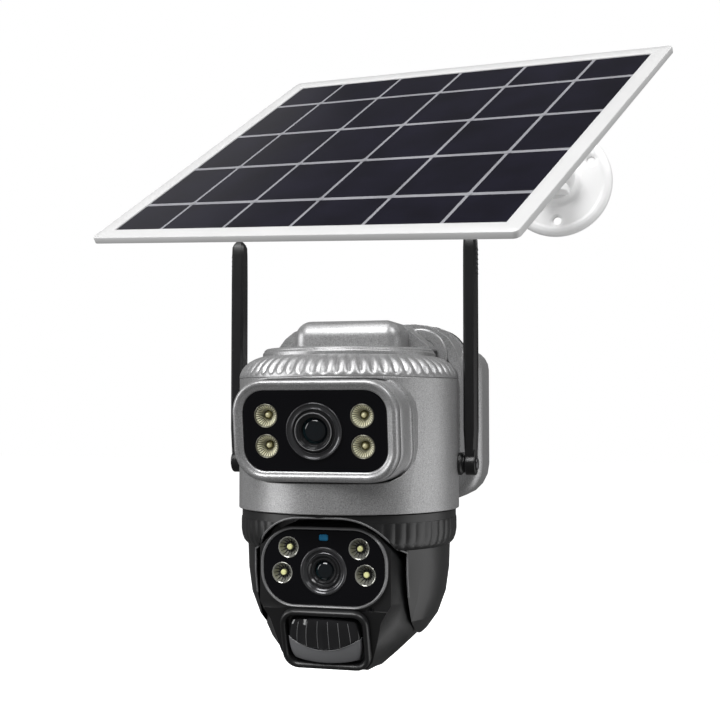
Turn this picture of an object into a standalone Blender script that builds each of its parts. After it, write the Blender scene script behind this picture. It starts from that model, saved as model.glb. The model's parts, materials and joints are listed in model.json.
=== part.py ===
"""Solar-powered pan-and-tilt security camera with its wall bracket and its own solar panel.

The model stands in front of a wall: the wall is the plane Y = 0, the object looks along -Y,
+X is to its right hand in a front view and +Z is up. The origin is the middle of the camera's
wall plate. Every size below is in millimetres; mesh vertices are turned into metres when made.
"""
import math

import bmesh
import bpy
from mathutils import Matrix, Vector

for old in list(bpy.data.objects):
    bpy.data.objects.remove(old, do_unlink=True)

MM = 0.001
GAP = 0.3                       # clearance between pieces that touch

# Driving dimensions -------------------------------------------------------------------------
BODY_AXIS_Y = -95.0             # vertical axis of the camera's round body
BODY_RADIUS = 60.0
BODY_TOP = 17.0                 # top edge of the front shell, under the ribbed ring
BODY_BOTTOM = -52.5
WALL = 2.5                      # wall thickness of the housings
LID_TOP = 33.0
BLOCK_TOP = 49.0
HOUSING_HALF = 64.0             # rear battery housing
HOUSING_FRONT = -40.0
HOUSING_BACK = -9.0
HOUSING_TOP = 36.0
HOUSING_BOTTOM = -52.2
BACK_CUT = HOUSING_FRONT - GAP - 0.2

PLATE_HALF = 52.0               # wall plate
PLATE_THICK = 5.0
WALL_SCREWS = ((-30.0, 43.5), (30.0, 43.5))
WALL_SCREW_HOLE = 2.4
HOOD_FRONT = -62.0              # arched bracket over the back of the round body
HOOD_BACK = -41.0
HOOD_FOOT = -24.0
BEAM_Z = 43.75                  # bracket beam that runs back to the wall plate
BUTTON_PLACE = (30.0, -24.0)
SOCKET_Y = -25.0

POD_Z = -10.5                   # middle height of the fixed upper lens pod
POD_FRONT = -160.0
POD_ANGLE = math.radians(8.0)   # the pod's face looks this far down
POD_LEAN = math.tan(POD_ANGLE)
POD_LAMPS = (25.0, 7.7)         # lamps, to the side of and above or below the lens
POD_LENS_HOLE = 13.9
POD_LAMP_HOLE = 5.9
RING_STEPS = 84                 # ribs and valleys of the ring on the body's shoulder
LID_RADIUS = 47.4

TILT_Z = -80.0                  # height of the head's tilt axis
SLOT_HALF = 40.5                # half the slot between the yoke's two ears
HEAD_HALF = 39.7
HEAD_FACE = 47.0                # how far the head's face stands ahead of its axis
HEAD_LENS_Z = TILT_Z - 1.7
HEAD_LENS_HOLE = 12.1
HEAD_LAMPS = ((18.7, 9.9), (22.0, -3.2))
HEAD_LAMP_HOLE = 5.5
STATUS_Z = TILT_Z + 15.2
TILT_PIN = 4.0                  # radius of both tilt stubs
TILT_PIN_HOLE = TILT_PIN + GAP

ANTENNA_X = 66.6
ANTENNA_Y = BODY_AXIS_Y + 6.0
ANTENNA_Z = -29.0
ANTENNA_LENGTH = 125.0
ANTENNA_HALF = 5.0              # half the blade's width
ANTENNA_PIN = 2.2
ANTENNA_BORE = ANTENNA_PIN + GAP

PANEL_WIDTH = 240.0
PANEL_DEPTH = 203.0
PANEL_THICK = 3.5
PANEL_BORDER = 9.0
PANEL_CENTRE = Vector((30.8, -140.5, 137.4))
PANEL_YAW = -21.3               # degrees about Z
PANEL_TILT = 35.0               # degrees, back edge raised
PANEL_ROLL = 4.8                # degrees about the panel's front-to-back line
FLANGE_CENTRE = Vector((105.0, 0.0, 138.0))
FLANGE_RADIUS = 33.0
FLANGE_HOLE_CIRCLE = 23.6
FLANGE_HOLE = 2.6
SWING_Y = -26.0                 # vertical swing bolt of the panel's arm
SWING_BOLT = 2.5
SWING_BORE = SWING_BOLT + GAP
STUD = 3.0                      # swivel stud between the arm and its knuckle
PANEL_PIN = 2.2
PANEL_PIN_BORE = PANEL_PIN + GAP
ARM_COLLAR = 8.4
POCKET_FLOOR = -1.9             # floor of the frame's pocket, below the panel's face
TILT_DROP = 19.5                # panel tilt pin below the panel's face
KNUCKLE_LENGTH = 30.0           # from the arm's end to the panel's tilt pin


# Materials -----------------------------------------------------------------------------------
def material(name, colour, roughness, metallic=0.0):
    made = bpy.data.materials.new(name)
    made.use_nodes = True
    shader = made.node_tree.nodes["Principled BSDF"]
    shader.inputs["Base Color"].default_value = (*colour, 1.0)
    shader.inputs["Roughness"].default_value = roughness
    shader.inputs["Metallic"].default_value = metallic
    return made


SILVER = material("silver_paint", (0.36, 0.37, 0.38), 0.38, 0.6)
BLACK = material("black_plastic", (0.02, 0.02, 0.022), 0.45)
GLOSS = material("gloss_black", (0.005, 0.005, 0.006), 0.08)
WHITE = material("white_plastic", (0.82, 0.82, 0.82), 0.3)
CELLS = material("solar_cells", (0.012, 0.011, 0.02), 0.2)
GLASS = material("lens_glass", (0.02, 0.04, 0.05), 0.03)
REFLECTOR = material("lamp_reflector", (0.72, 0.71, 0.6), 0.25, 0.3)
STEEL = material("steel", (0.55, 0.56, 0.57), 0.3, 1.0)
BOARD = material("circuit_board", (0.02, 0.16, 0.07), 0.5)
NYLON = material("gear_nylon", (0.75, 0.73, 0.66), 0.5)
BATTERY = material("battery_wrap", (0.05, 0.2, 0.45), 0.4)
RUBBER = material("rubber", (0.03, 0.03, 0.03), 0.8)
BLUE = material("status_blue", (0.02, 0.16, 0.3), 0.2)
GREY = material("grey_lens", (0.08, 0.08, 0.085), 0.3)


# Mesh tools ----------------------------------------------------------------------------------
def to_object(name, bm, finish, smooth=35.0):
    """Turns a bmesh in millimetres into a named object in metres, its faces pointing out."""
    bmesh.ops.recalc_face_normals(bm, faces=bm.faces)
    bmesh.ops.scale(bm, vec=(MM, MM, MM), verts=bm.verts)
    mesh = bpy.data.meshes.new(name)
    bm.to_mesh(mesh)
    bm.free()
    mesh.materials.append(finish)
    mesh.shade_smooth()
    mesh.set_sharp_from_angle(angle=math.radians(smooth))
    made = bpy.data.objects.new(name, mesh)
    bpy.context.scene.collection.objects.link(made)
    return made


def loft(name, sections, finish, ring=False):
    """Skins closed outlines that all have the same number of points; ring joins last to first."""
    bm = bmesh.new()
    loops = [[bm.verts.new(p) for p in section] for section in sections]
    count = len(loops[0])
    pairs = list(zip(loops, loops[1:]))
    if ring:
        pairs.append((loops[-1], loops[0]))
    for low, high in pairs:
        for i in range(count):
            j = (i + 1) % count
            bm.faces.new((low[i], low[j], high[j], high[i]))
    if not ring:
        bm.faces.new(loops[0])
        bm.faces.new(loops[-1])
    return to_object(name, bm, finish)


def prism(name, outline, low, high, finish, plane="XY"):
    """Extrudes a flat outline. XY goes up Z, XZ goes along Y, YZ goes along X."""
    lift = {"XY": lambda a, b, t: (a, b, t), "XZ": lambda a, b, t: (a, t, b),
            "YZ": lambda a, b, t: (t, a, b)}[plane]
    return loft(name, [[lift(a, b, t) for a, b in outline] for t in (low, high)], finish)


def turned(name, profile, finish, steps=40, place=Matrix.Identity(4)):
    """Turns a closed outline of (radius, height) points about Z, then places it.

    Points on the axis are shared by all steps.
    """
    bm = bmesh.new()
    rings = []
    for radius, height in profile:
        if radius < 1e-6:
            rings.append([bm.verts.new(place @ Vector((0, 0, height)))])
            continue
        rings.append([
            bm.verts.new(place @ Vector((radius * math.cos(a), radius * math.sin(a), height)))
            for a in (2 * math.pi * i / steps for i in range(steps))])
    for a, b in zip(rings, rings[1:] + rings[:1]):
        for i in range(steps):
            j = (i + 1) % steps
            corners = [a[i % len(a)], a[j % len(a)], b[j % len(b)], b[i % len(b)]]
            corners = list(dict.fromkeys(corners))
            if len(corners) > 2:
                bm.faces.new(corners)
    return to_object(name, bm, finish)


def disc(name, radius, low, high, finish, steps=32, place=Matrix.Identity(4)):
    return turned(name, [(0, low), (radius, low), (radius, high), (0, high)], finish, steps, place)


def box(name, low, high, finish):
    outline = [(low[0], low[1]), (high[0], low[1]), (high[0], high[1]), (low[0], high[1])]
    return prism(name, outline, low[2], high[2], finish)


def arc(cx, cy, radius, start, end, steps):
    """Points along an arc, angles in degrees."""
    return [(cx + radius * math.cos(math.radians(start + (end - start) * i / steps)),
             cy + radius * math.sin(math.radians(start + (end - start) * i / steps)))
            for i in range(steps + 1)]


def rounded(half_w, half_h, radius, cx=0.0, cy=0.0, steps=5, low_radius=None):
    """Rounded rectangle outline; low_radius gives its two lower corners their own radius."""
    low = radius if low_radius is None else low_radius
    return (arc(cx + half_w - radius, cy + half_h - radius, radius, 0, 90, steps)
            + arc(cx - half_w + radius, cy + half_h - radius, radius, 90, 180, steps)
            + arc(cx - half_w + low, cy - half_h + low, low, 180, 270, steps)
            + arc(cx + half_w - low, cy - half_h + low, low, 270, 360, steps))


def combine(target, tool, operation):
    """Applies an exact Boolean of tool to target, and removes the tool."""
    step = target.modifiers.new(operation.lower(), "BOOLEAN")
    step.operation = operation
    step.solver = "EXACT"
    step.object = tool
    bpy.context.view_layer.update()
    result = bpy.data.meshes.new_from_object(
        target.evaluated_get(bpy.context.evaluated_depsgraph_get()))
    target.modifiers.clear()
    target.data = result
    bpy.data.objects.remove(tool, do_unlink=True)
    return target


def cut(target, *tools):
    for tool in tools:
        combine(target, tool, "DIFFERENCE")
    return target


def fuse(target, *tools):
    for tool in tools:
        combine(target, tool, "UNION")
    return target


def along_y(x, z, y=0.0):
    """Placement that turns the Z axis of a turned shape to -Y."""
    return Matrix.Translation((x, y, z)) @ Matrix.Rotation(math.radians(90), 4, "X")


def along_x(y, z, side=1):
    """Placement that turns the Z axis of a turned shape to +X, or to -X for side -1."""
    return Matrix.Translation((0, y, z)) @ Matrix.Rotation(math.radians(90 * side), 4, "Y")


def set_origin(objects, point):
    """Moves the objects' own origins to a point in millimetres, without moving the shapes."""
    shift = Vector(point) * MM
    for item in objects:
        item.data.transform(Matrix.Translation(-shift))
        item.location = shift


# Wall side of the camera ----------------------------------------------------------------------
def wall_bracket():
    plate_outline = rounded(PLATE_HALF, PLATE_HALF, 28, low_radius=10, steps=6)
    plate = prism("wall_plate", plate_outline, -PLATE_THICK, 0.0, SILVER, "XZ")
    for number, (x, z) in enumerate(WALL_SCREWS, 1):
        cut(plate, disc("screw_hole", WALL_SCREW_HOLE, -1, PLATE_THICK + 1, STEEL, 20,
                        along_y(x, z)))
        profile = [(0, 1.0), (2.1, 1.0), (2.1, 5.3), (4.2, 5.3), (4.2, 6.6), (3.0, 7.8), (0, 7.8)]
        turned(f"wall_screw_{number}", profile, STEEL, 12, along_y(x, z))
    hood_outer = rounded(56.0, 61.0, 26, cy=-12, steps=6, low_radius=2)
    hood_inner = rounded(52.2, 60.0, 22, cy=-21.5, steps=6, low_radius=2)
    arm = prism("bracket_arm", hood_outer, HOOD_FRONT, HOOD_BACK, SILVER, "XZ")
    cut(arm, prism("hood_inside", hood_inner, HOOD_FRONT - 2, HOOD_BACK + 2, SILVER, "XZ"),
        box("hood_feet", (-60, HOOD_FRONT - 2, -90), (60, HOOD_BACK + 2, HOOD_FOOT), SILVER))
    beam = rounded(22, 5.25, 3, cy=BEAM_Z, steps=3)
    fuse(arm, prism("hood_beam", beam, HOOD_BACK - 1, -PLATE_THICK - GAP, SILVER, "XZ"))


def top_block():
    low, high = LID_TOP + GAP, BLOCK_TOP
    sections = []
    for inset, z in ((0, low), (0, high - 7), (1.2, high - 3.5), (3.5, high - 0.8), (6.0, high)):
        sections.append([(x, y, z) for x, y in rounded(
            30.5 - inset, 21.25 - inset, 6.5 - inset * 0.6, cy=-83.75)])
    block = loft("top_block", sections, SILVER)
    for side in (-1, 1):
        wedge = [(side * 24, low), (side * 43, low), (side * 43, low + 1.5), (side * 27, high - 3)]
        fuse(block, prism("gusset", wedge, -80, HOOD_FRONT - GAP, SILVER, "XZ"))


def rear_housing():
    middle = (HOUSING_TOP + HOUSING_BOTTOM) / 2
    half = (HOUSING_TOP - HOUSING_BOTTOM) / 2
    sections = []
    for inset, y in ((5.0, 0.0), (2.6, 0.7), (0.9, 2.6), (0.0, 6.0), (0.0, 31.0)):
        outline = rounded(HOUSING_HALF - inset, half - inset, 12 - inset * 0.5, cy=middle,
                          low_radius=20 - inset * 0.5, steps=5)
        sections.append([(x, HOUSING_FRONT + y, z) for x, z in outline])
    housing = loft("rear_housing", sections, SILVER)
    inside = rounded(HOUSING_HALF - WALL, half - WALL, 9.5, cy=middle, low_radius=17.5, steps=5)
    cut(housing, prism("housing_inside", inside, HOUSING_FRONT + 6, HOUSING_BACK + 2, SILVER, "XZ"),
        box("port_opening", (-11, -30, HOUSING_BOTTOM - 2), (11, -20, HOUSING_BOTTOM + 5), SILVER),
        disc("button_hole", 4.4, HOUSING_BOTTOM - 2, HOUSING_BOTTOM + 5, SILVER, 24,
             Matrix.Translation((*BUTTON_PLACE, 0))))
    lid_outline = rounded(HOUSING_HALF - WALL - GAP, half - WALL - GAP, 9.2, cy=middle,
                          low_radius=17.2, steps=5)
    prism("rear_cover", lid_outline, HOUSING_BACK - 2.2, HOUSING_BACK, SILVER, "XZ")
    for number, z in enumerate((-17.0, 4.0), 1):
        cell = [(0, -32.5), (8.4, -32.5), (9.2, -31.7), (9.2, 30.6), (8.6, 31.2), (3.2, 31.2),
                (3.2, 32.5), (0, 32.5)]
        turned(f"battery_cell_{number}", cell, BATTERY, 16, along_x(-22.0, z))
    tray = [(-35.5, -33.7), (35.5, -33.7), (35.5, -16), (33.3, -16), (33.3, -31.7),
            (-33.3, -31.7), (-33.3, -16), (-35.5, -16)]
    prism("battery_holder", tray, -28, 15, BLACK)
    box("charge_board", (-30, -33.2, -48), (45, -31.6, -30), BOARD)
    prism("charging_socket", rounded(4.6, 1.7, 1.6, cy=SOCKET_Y, steps=3), -46.5, -39.5, STEEL)


def port_pieces():
    flap = prism("port_flap", rounded(13.5, 6.8, 2.5, cy=SOCKET_Y - 0.2, steps=3),
                 HOUSING_BOTTOM - GAP - 1.8, HOUSING_BOTTOM - GAP, RUBBER)
    set_origin([flap], (0, -18.4, HOUSING_BOTTOM - GAP - 0.9))
    profile = [(0, -1.4), (3.4, -1.4), (4.0, -0.8), (4.0, 2.8), (5.4, 2.8), (5.4, 3.8), (0, 3.8)]
    button = turned("power_button", profile, RUBBER, 16,
                    Matrix.Translation((*BUTTON_PLACE, HOUSING_BOTTOM)))
    set_origin([button], (*BUTTON_PLACE, HOUSING_BOTTOM))


# Round body -----------------------------------------------------------------------------------
def d_outline(radius, back, steps=56):
    """Circle about the body axis, cut off flat at the back."""
    reach = back - BODY_AXIS_Y
    edge = math.degrees(math.asin(reach / radius))
    return arc(0, BODY_AXIS_Y, radius, 180 - edge, 360 + edge, steps)


def body_shell():
    shell = prism("front_shell", d_outline(BODY_RADIUS, BACK_CUT), BODY_BOTTOM, BODY_TOP, SILVER)
    inner = d_outline(BODY_RADIUS - WALL, BACK_CUT - WALL)
    cut(shell, prism("shell_inside", inner, BODY_BOTTOM - 1, BODY_TOP + 1, SILVER),
        pod_prism("pod_opening", 46.3, 26.3, 17.3, -178, -112, SILVER))

    outer = [(60.0, 17.3, 0), (59.9, 19.2, 0.5), (58.6, 22.2, 1.0), (54.9, 25.8, 1.0),
             (50.6, 28.0, 0.6), (47.8, 28.8, 0)]
    inner = [(47.8, 22.5, 0), (56.4, 17.3, 0)]
    sections = []
    for i in range(RING_STEPS):
        angle = 2 * math.pi * i / RING_STEPS
        dip = i % 2
        sections.append([((r - d * dip) * math.cos(angle),
                          BODY_AXIS_Y + (r - d * dip) * math.sin(angle), z)
                         for r, z, d in outer + inner])
    ring = loft("top_ring", sections, SILVER, ring=True)
    cut(ring, box("ring_back", (-70, BACK_CUT, 0), (70, 0, 50), SILVER))

    lid = [(0, 26), (LID_RADIUS, 26), (LID_RADIUS, 31.2), (LID_RADIUS - 0.6, 32.5),
           (LID_RADIUS - 2.2, LID_TOP), (0, LID_TOP)]
    turned("top_lid", lid, SILVER, 36, Matrix.Translation((0, BODY_AXIS_Y, 0)))


def lean(x, y, z):
    """Leans a pod point, so that the pod's face looks a little down."""
    return (x, y - (z - POD_Z) * POD_LEAN, z)


def pod_section(half_w, half_h, radius, y, steps=5):
    return [lean(x, y, z) for x, z in rounded(half_w, half_h, radius, cy=POD_Z, steps=steps)]


def pod_prism(name, half_w, half_h, radius, low, high, finish):
    return loft(name, [pod_section(half_w, half_h, radius, y) for y in (low, high)], finish)


def pod_disc(name, x, z, profile, finish, steps=28):
    """Turned piece of (radius, distance ahead of the pod face), leaning with the pod."""
    tilt = Matrix.Rotation(POD_ANGLE, 4, "X")
    foot = Vector(lean(x, POD_FRONT, z))
    return turned(name, profile, finish, steps,
                  Matrix.Translation(foot) @ tilt @ Matrix.Rotation(math.radians(90), 4, "X"))


LAMP_CUP = [(0, -4.2), (5.6, -4.2), (5.6, 0.0), (5.0, 0.0), (1.7, -3.0), (1.5, -1.6), (0, -1.2)]


def upper_pod():
    sections = [pod_section(46, 26, 17, -120), pod_section(46, 26, 17, -146),
                pod_section(44.6, 25.8, 17, -148), pod_section(43.6, 25.8, 17, -157 + GAP)]
    shell = loft("pod_shell", sections, SILVER)
    cut(shell, pod_prism("pod_hollow", 40.5, 22.6, 14, -165, -110, SILVER))
    bezel = loft("pod_bezel", [pod_section(42.9, 25.6, 16.6, -157),
                               pod_section(42.4, 25.3, 16.3, -160.6),
                               pod_section(41.4, 24.4, 15.4, -162.0)], SILVER)
    cut(bezel, pod_prism("bezel_hole", 37.4, 20.9, 12.7, -170, -150, SILVER))
    window = pod_prism("pod_window", 37.1, 20.6, 12.4, -160.6, -158.6, GLOSS)
    lens_hole = [(0, -8), (POD_LENS_HOLE, -8), (POD_LENS_HOLE, 8), (0, 8)]
    lamp_hole = [(0, -8), (POD_LAMP_HOLE, -8), (POD_LAMP_HOLE, 8), (0, 8)]
    cut(window, pod_disc("lens_hole", 0, POD_Z, lens_hole, GLOSS, 24))
    aside, above = POD_LAMPS
    lamps = [(x, POD_Z + z) for x in (-aside, aside) for z in (above, -above)]
    for number, (x, z) in enumerate(lamps, 1):
        cut(window, pod_disc("lamp_hole", x, z, lamp_hole, GLOSS, 16))
        pod_disc(f"upper_lamp_{number}", x, z, LAMP_CUP, REFLECTOR, 16)
    barrel = [(8.2, 1.5), (9.4, 1.5), (9.8, 0.2), (11.2, 0.2), (11.6, 2.0), (13.6, 2.0),
              (13.6, -9.0), (11.0, -9.0), (11.0, -20.0), (7.0, -20.0), (7.0, -2.5)]
    pod_disc("upper_lens_barrel", 0, POD_Z, barrel, BLACK, 24)
    glass = [(0, -2.2), (6.6, -2.2), (6.6, -0.6), (4.0, 0.9), (0, 1.4)]
    pod_disc("upper_lens_glass", 0, POD_Z, glass, GLASS, 20)


def inner_parts():
    deck = prism("pan_deck", d_outline(BODY_RADIUS - WALL - GAP, BACK_CUT - WALL - GAP, 40),
                 -45.0, -42.5, BLACK)
    cut(deck, disc("deck_bore", 12.2, -60, -30, BLACK, 20, Matrix.Translation((0, BODY_AXIS_Y, 0))))
    box("main_board", (-34, -114, -30), (34, -112.4, 20), BOARD)
    box("pan_motor", (-14, PINION_Y - 8, -35.5), (14, -45, -17), STEEL)


def gear_outline(teeth, root, tip, turn=0.0):
    """Straight-sided teeth, narrower at the tip than at the root."""
    points = []
    pitch = 360 / teeth
    for i in range(teeth):
        for share, radius in ((-0.27, root), (-0.12, tip), (0.12, tip), (0.27, root)):
            angle = math.radians(turn + (i + share) * pitch)
            points.append((radius * math.cos(angle), radius * math.sin(angle)))
    return points


PAN_TEETH = 40
PINION_TEETH = 10
PAN_PITCH = 20.0
PINION_PITCH = PAN_PITCH * PINION_TEETH / PAN_TEETH
PINION_Y = BODY_AXIS_Y + PAN_PITCH + PINION_PITCH + 0.2
GEAR_LOW, GEAR_HIGH = -42.0, -37.5


def gear_train():
    gear = prism("pan_gear", [(x, y + BODY_AXIS_Y) for x, y in gear_outline(
        PAN_TEETH, PAN_PITCH - 1.1, PAN_PITCH + 0.7, 90 + 180 / PAN_TEETH)],
        GEAR_LOW, GEAR_HIGH, NYLON)
    cut(gear, disc("gear_bore", 11.8, -60, -20, NYLON, 20, Matrix.Translation((0, BODY_AXIS_Y, 0))))
    pinion = prism("pan_pinion", [(x, y + PINION_Y) for x, y in gear_outline(
        PINION_TEETH, PINION_PITCH - 1.1, PINION_PITCH + 0.7, -90)],
        GEAR_LOW, GEAR_HIGH, NYLON)
    set_origin([gear], (0, BODY_AXIS_Y, GEAR_LOW))
    set_origin([pinion], (0, PINION_Y, GEAR_LOW))


# Pan yoke --------------------------------------------------------------------------------------
def yoke():
    bore = 6.0
    profile = [(bore, -36.5), (11.5, -36.5), (11.5, -50), (51.4, -50), (51.4, -53.1), (58.3, -53.1),
               (58.3, -64.0), (57.6, -68.2), (55.6, -70.6), (55.0, -72.0), (54.6, -84), (52.8, -97),
               (48.4, -109), (43.0, -116.5), (37.0, -122), (bore, -122)]
    frame = turned("yoke_frame", profile, BLACK, 44, Matrix.Translation((0, BODY_AXIS_Y, 0)))
    hollow_radius = 50.0
    spread = math.degrees(math.acos(SLOT_HALF / hollow_radius))
    inside = (arc(0, BODY_AXIS_Y, hollow_radius, spread, 180 - spread, 12)
              + arc(0, BODY_AXIS_Y, hollow_radius, 180 + spread, 360 - spread, 12))
    slot = prism("slot_inside", inside, -130, -53, BLACK)
    fuse(slot, box("slot_below", (-SLOT_HALF, -200, -128), (SLOT_HALF, 10, -71.2), BLACK))
    arch = rounded(39.7, 31.4, 30, cy=-85.6, steps=8, low_radius=1)
    front = prism("slot_arch", arch, -165, BODY_AXIS_Y, BLACK, "XZ")
    motor_pocket = disc("motor_pocket", 13.2, 40, 50.5, BLACK, 24,
                        along_x(BODY_AXIS_Y, TILT_Z, -1))
    pin_hole = disc("pin_hole", TILT_PIN_HOLE, 36, 49.5, BLACK, 16,
                    along_x(BODY_AXIS_Y, TILT_Z, 1))
    cut(frame, slot, front, motor_pocket, pin_hole)
    motor = [(0, 50.2), (12.8, 50.2), (12.8, 41.2), (TILT_PIN, 41.2), (TILT_PIN, 34.5), (0, 34.5)]
    turned("tilt_motor", motor, STEEL, 20, along_x(BODY_AXIS_Y, TILT_Z, -1))
    pin = [(0, 49.2), (TILT_PIN, 49.2), (TILT_PIN, 34.5), (0, 34.5)]
    turned("tilt_pin", pin, STEEL, 16, along_x(BODY_AXIS_Y, TILT_Z, 1))
    set_origin([frame], (0, BODY_AXIS_Y, -50))


# Camera head -----------------------------------------------------------------------------------
def head_profile(points):
    """Side outline given as (distance ahead of the tilt axis, height above it)."""
    return [(BODY_AXIS_Y - ahead, TILT_Z + up) for ahead, up in points]


def mirrored(points):
    """Closes a half outline given from top to bottom with its mirror image."""
    return points + [(-x, z) for x, z in reversed(points)]


HEAD_WALL = 3.2
HOLLOW_HEIGHT = 0.94             # inner outline of the head against its outer outline
PIR_TILT = math.radians(17.0)    # the motion sensor looks this far down
PIR_CENTRE = Vector((0, BODY_AXIS_Y - 43.5, TILT_Z - 36.2))


def pir_section(half_w, half_h, radius, out, up=0.0):
    """Rounded outline on the sloping sensor face, a distance out from that face."""
    turn = Matrix.Rotation(PIR_TILT, 3, "X")
    return [PIR_CENTRE + turn @ Vector((x, -out, z))
            for x, z in rounded(half_w, half_h, radius, cy=up, steps=4)]


def head_disc(name, x, z, profile, finish, steps=28):
    """Turned piece of (radius, distance ahead of the head's face)."""
    return turned(name, profile, finish, steps,
                  along_y(x, z, BODY_AXIS_Y - HEAD_FACE))


def head():
    silhouette = head_profile(
        [(HEAD_FACE, 20.5), (44.5, 22.6), (28, 22.4)] + arc(0, 0, 20, 80, 200, 8)
        + [(-14, -30), (-5, -41.5), (20, -52.4), (35, -53.2), (38.2, -52.0), (47.9, -21.4),
           (HEAD_FACE, -21.1)])
    plan = mirrored([(HEAD_HALF, BODY_AXIS_Y + 25), (HEAD_HALF, BODY_AXIS_Y - 22),
                     (38.6, BODY_AXIS_Y - 32), (36.4, BODY_AXIS_Y - 41), (34.4, BODY_AXIS_Y - 48)])
    narrow = [(14, 23.5), (20, 21.2), (28, 16.8), (34, 10.6), (38, 2.5), (38, -9), (34.6, -18.5),
              (29.4, -27), (25, -38), (20.8, -49.5), (17, -55)]
    medium = [(14, 23.5), (21, 21.0), (28.4, 16.2), (34.2, 9.4), (38.4, 1.0), (39.2, -11),
              (37.6, -20.5), (34.4, -29), (30.6, -38), (25, -47.5), (18.5, -55)]
    wide = [(14, 23.5), (22, 21.5), (30, 17), (36, 11), (HEAD_HALF, 3), (HEAD_HALF, -12),
            (HEAD_HALF, -24), (HEAD_HALF, -34), (36.5, -40.5), (29.5, -47.5), (20, -56)]
    levels = [(-200, narrow), (BODY_AXIS_Y - 46, narrow), (BODY_AXIS_Y - 34, medium),
              (BODY_AXIS_Y - 22, wide), (-40, wide)]
    front = loft("head_front", [[(x, y, TILT_Z + up) for x, up in mirrored(half)]
                                for y, half in levels], BLACK)
    shell = prism("head_shell", silhouette, -45, 45, BLACK, "YZ")
    combine(shell, prism("head_plan", plan, TILT_Z - 70, TILT_Z + 40, BLACK), "INTERSECT")
    combine(shell, front, "INTERSECT")
    hollow = head_profile([(50, 17), (28, 18.5)] + arc(0, 0, 17, 80, 200, 6)
                          + [(-11, -28.5), (-4, -39), (20, -49.4), (34.6, -49.8), (43.6, -22.5),
                             (50, -19.5)])
    cavity = prism("head_hollow", hollow, -31, 31, BLACK, "YZ")
    inside = loft("head_inside", [[(x, y, TILT_Z + up * HOLLOW_HEIGHT) for x, up in
                                   mirrored([(x - HEAD_WALL, up) for x, up in half])]
                                  for y, half in levels], BLACK)
    combine(cavity, inside, "INTERSECT")
    oval = prism("head_oval", rounded(29.5, 16.5, 14, cy=TILT_Z, steps=6), -135, -160, BLACK, "XZ")
    block = box("face_keep", (-50, -200, -160), (50, BODY_AXIS_Y - 44.4, -40), BLACK)
    cut(block, oval)
    cut(cavity, block)
    cut(shell, cavity)
    cut(shell, prism("head_mouth", rounded(29.5, 16.5, 14, cy=TILT_Z, steps=6), -160, -125,
                     BLACK, "XZ"),
        loft("pir_mouth", [pir_section(15, 9.5, 4, out) for out in (-8, 4)], BLACK))
    for sign in (-1, 1):
        cut(shell, disc("trunnion_hole", TILT_PIN_HOLE, 30, 45, BLACK, 16,
                        along_x(BODY_AXIS_Y, TILT_Z, sign)))

    face = BODY_AXIS_Y - HEAD_FACE
    rim_outer, rim_inner = (33.6, 20.6, 18.5), (32.0, 19.0, 17.0)
    rim = prism("head_rim", rounded(*rim_outer, cy=TILT_Z, steps=8), face - 2.6, face - GAP,
                BLACK, "XZ")
    cut(rim, prism("rim_hole", rounded(*rim_inner, cy=TILT_Z, steps=8), face - 9, face + 5,
                   BLACK, "XZ"))
    window = prism("head_window", rounded(31.7, 18.7, 16.7, cy=TILT_Z, steps=8), face - 2.0,
                   face - GAP, GLOSS, "XZ")
    lens_hole = [(0, -6), (HEAD_LENS_HOLE, -6), (HEAD_LENS_HOLE, 6), (0, 6)]
    cut(window, head_disc("lens_hole", 0, HEAD_LENS_Z, lens_hole, GLOSS, 24),
        prism("light_hole", rounded(2.6, 1.8, 1.0, cy=STATUS_Z, steps=3), face - 9, face + 6,
              GLOSS, "XZ"))
    prism("status_light", rounded(2.3, 1.5, 0.8, cy=STATUS_Z, steps=3), face - 1.9,
          face - GAP, BLUE, "XZ")
    lamp_hole = [(0, -6), (HEAD_LAMP_HOLE, -6), (HEAD_LAMP_HOLE, 8), (0, 8)]
    lamps = [(side * x, TILT_Z + z) for side in (-1, 1) for x, z in HEAD_LAMPS]
    for number, (x, z) in enumerate(lamps, 1):
        cut(window, head_disc("lamp_hole", x, z, lamp_hole, GLOSS, 16))
        cup = [(r * 0.93, h) for r, h in LAMP_CUP]
        head_disc(f"head_lamp_{number}", x, z, cup, REFLECTOR, 16)
    barrel = [(6.4, 2.2), (8.0, 2.2), (8.4, 0.8), (9.8, 0.8), (10.2, 2.6), (11.8, 2.6),
              (11.8, -6.0), (9.0, -6.0), (9.0, -18.0), (5.4, -18.0), (5.4, -2.0)]
    head_disc("head_lens_barrel", 0, HEAD_LENS_Z, barrel, BLACK, 24)
    glass = [(0, -1.8), (5.0, -1.8), (5.0, 0.0), (3.0, 1.1), (0, 1.6)]
    head_disc("head_lens_glass", 0, HEAD_LENS_Z, glass, GLASS, 20)

    surround = loft("pir_surround", [pir_section(22, 15.4, 7.6, GAP),
                                     pir_section(21.8, 15.2, 7.6, 2.6),
                                     pir_section(20.4, 14.0, 6.6, 4.0)], BLACK)
    cut(surround, loft("pir_hole", [pir_section(18.6, 12.6, 6, out) for out in (-3, 9)], BLACK))
    loft("pir_lens", [pir_section(18.3, 12.3, 5.8, GAP), pir_section(18.3, 12.3, 5.8, 2.0),
                      pir_section(16.6, 10.8, 5.4, 4.4), pir_section(13.2, 8.0, 5.0, 6.2),
                      pir_section(7.8, 4.4, 3.6, 7.0)], GREY)
    box("head_board", (-26, BODY_AXIS_Y - 26, TILT_Z - 16), (26, BODY_AXIS_Y - 24.4, TILT_Z + 14),
        BOARD)
    for item in bpy.data.objects:
        if item.name.startswith(("head_", "pir_", "status_")):
            set_origin([item], (0, BODY_AXIS_Y, TILT_Z))


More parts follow.
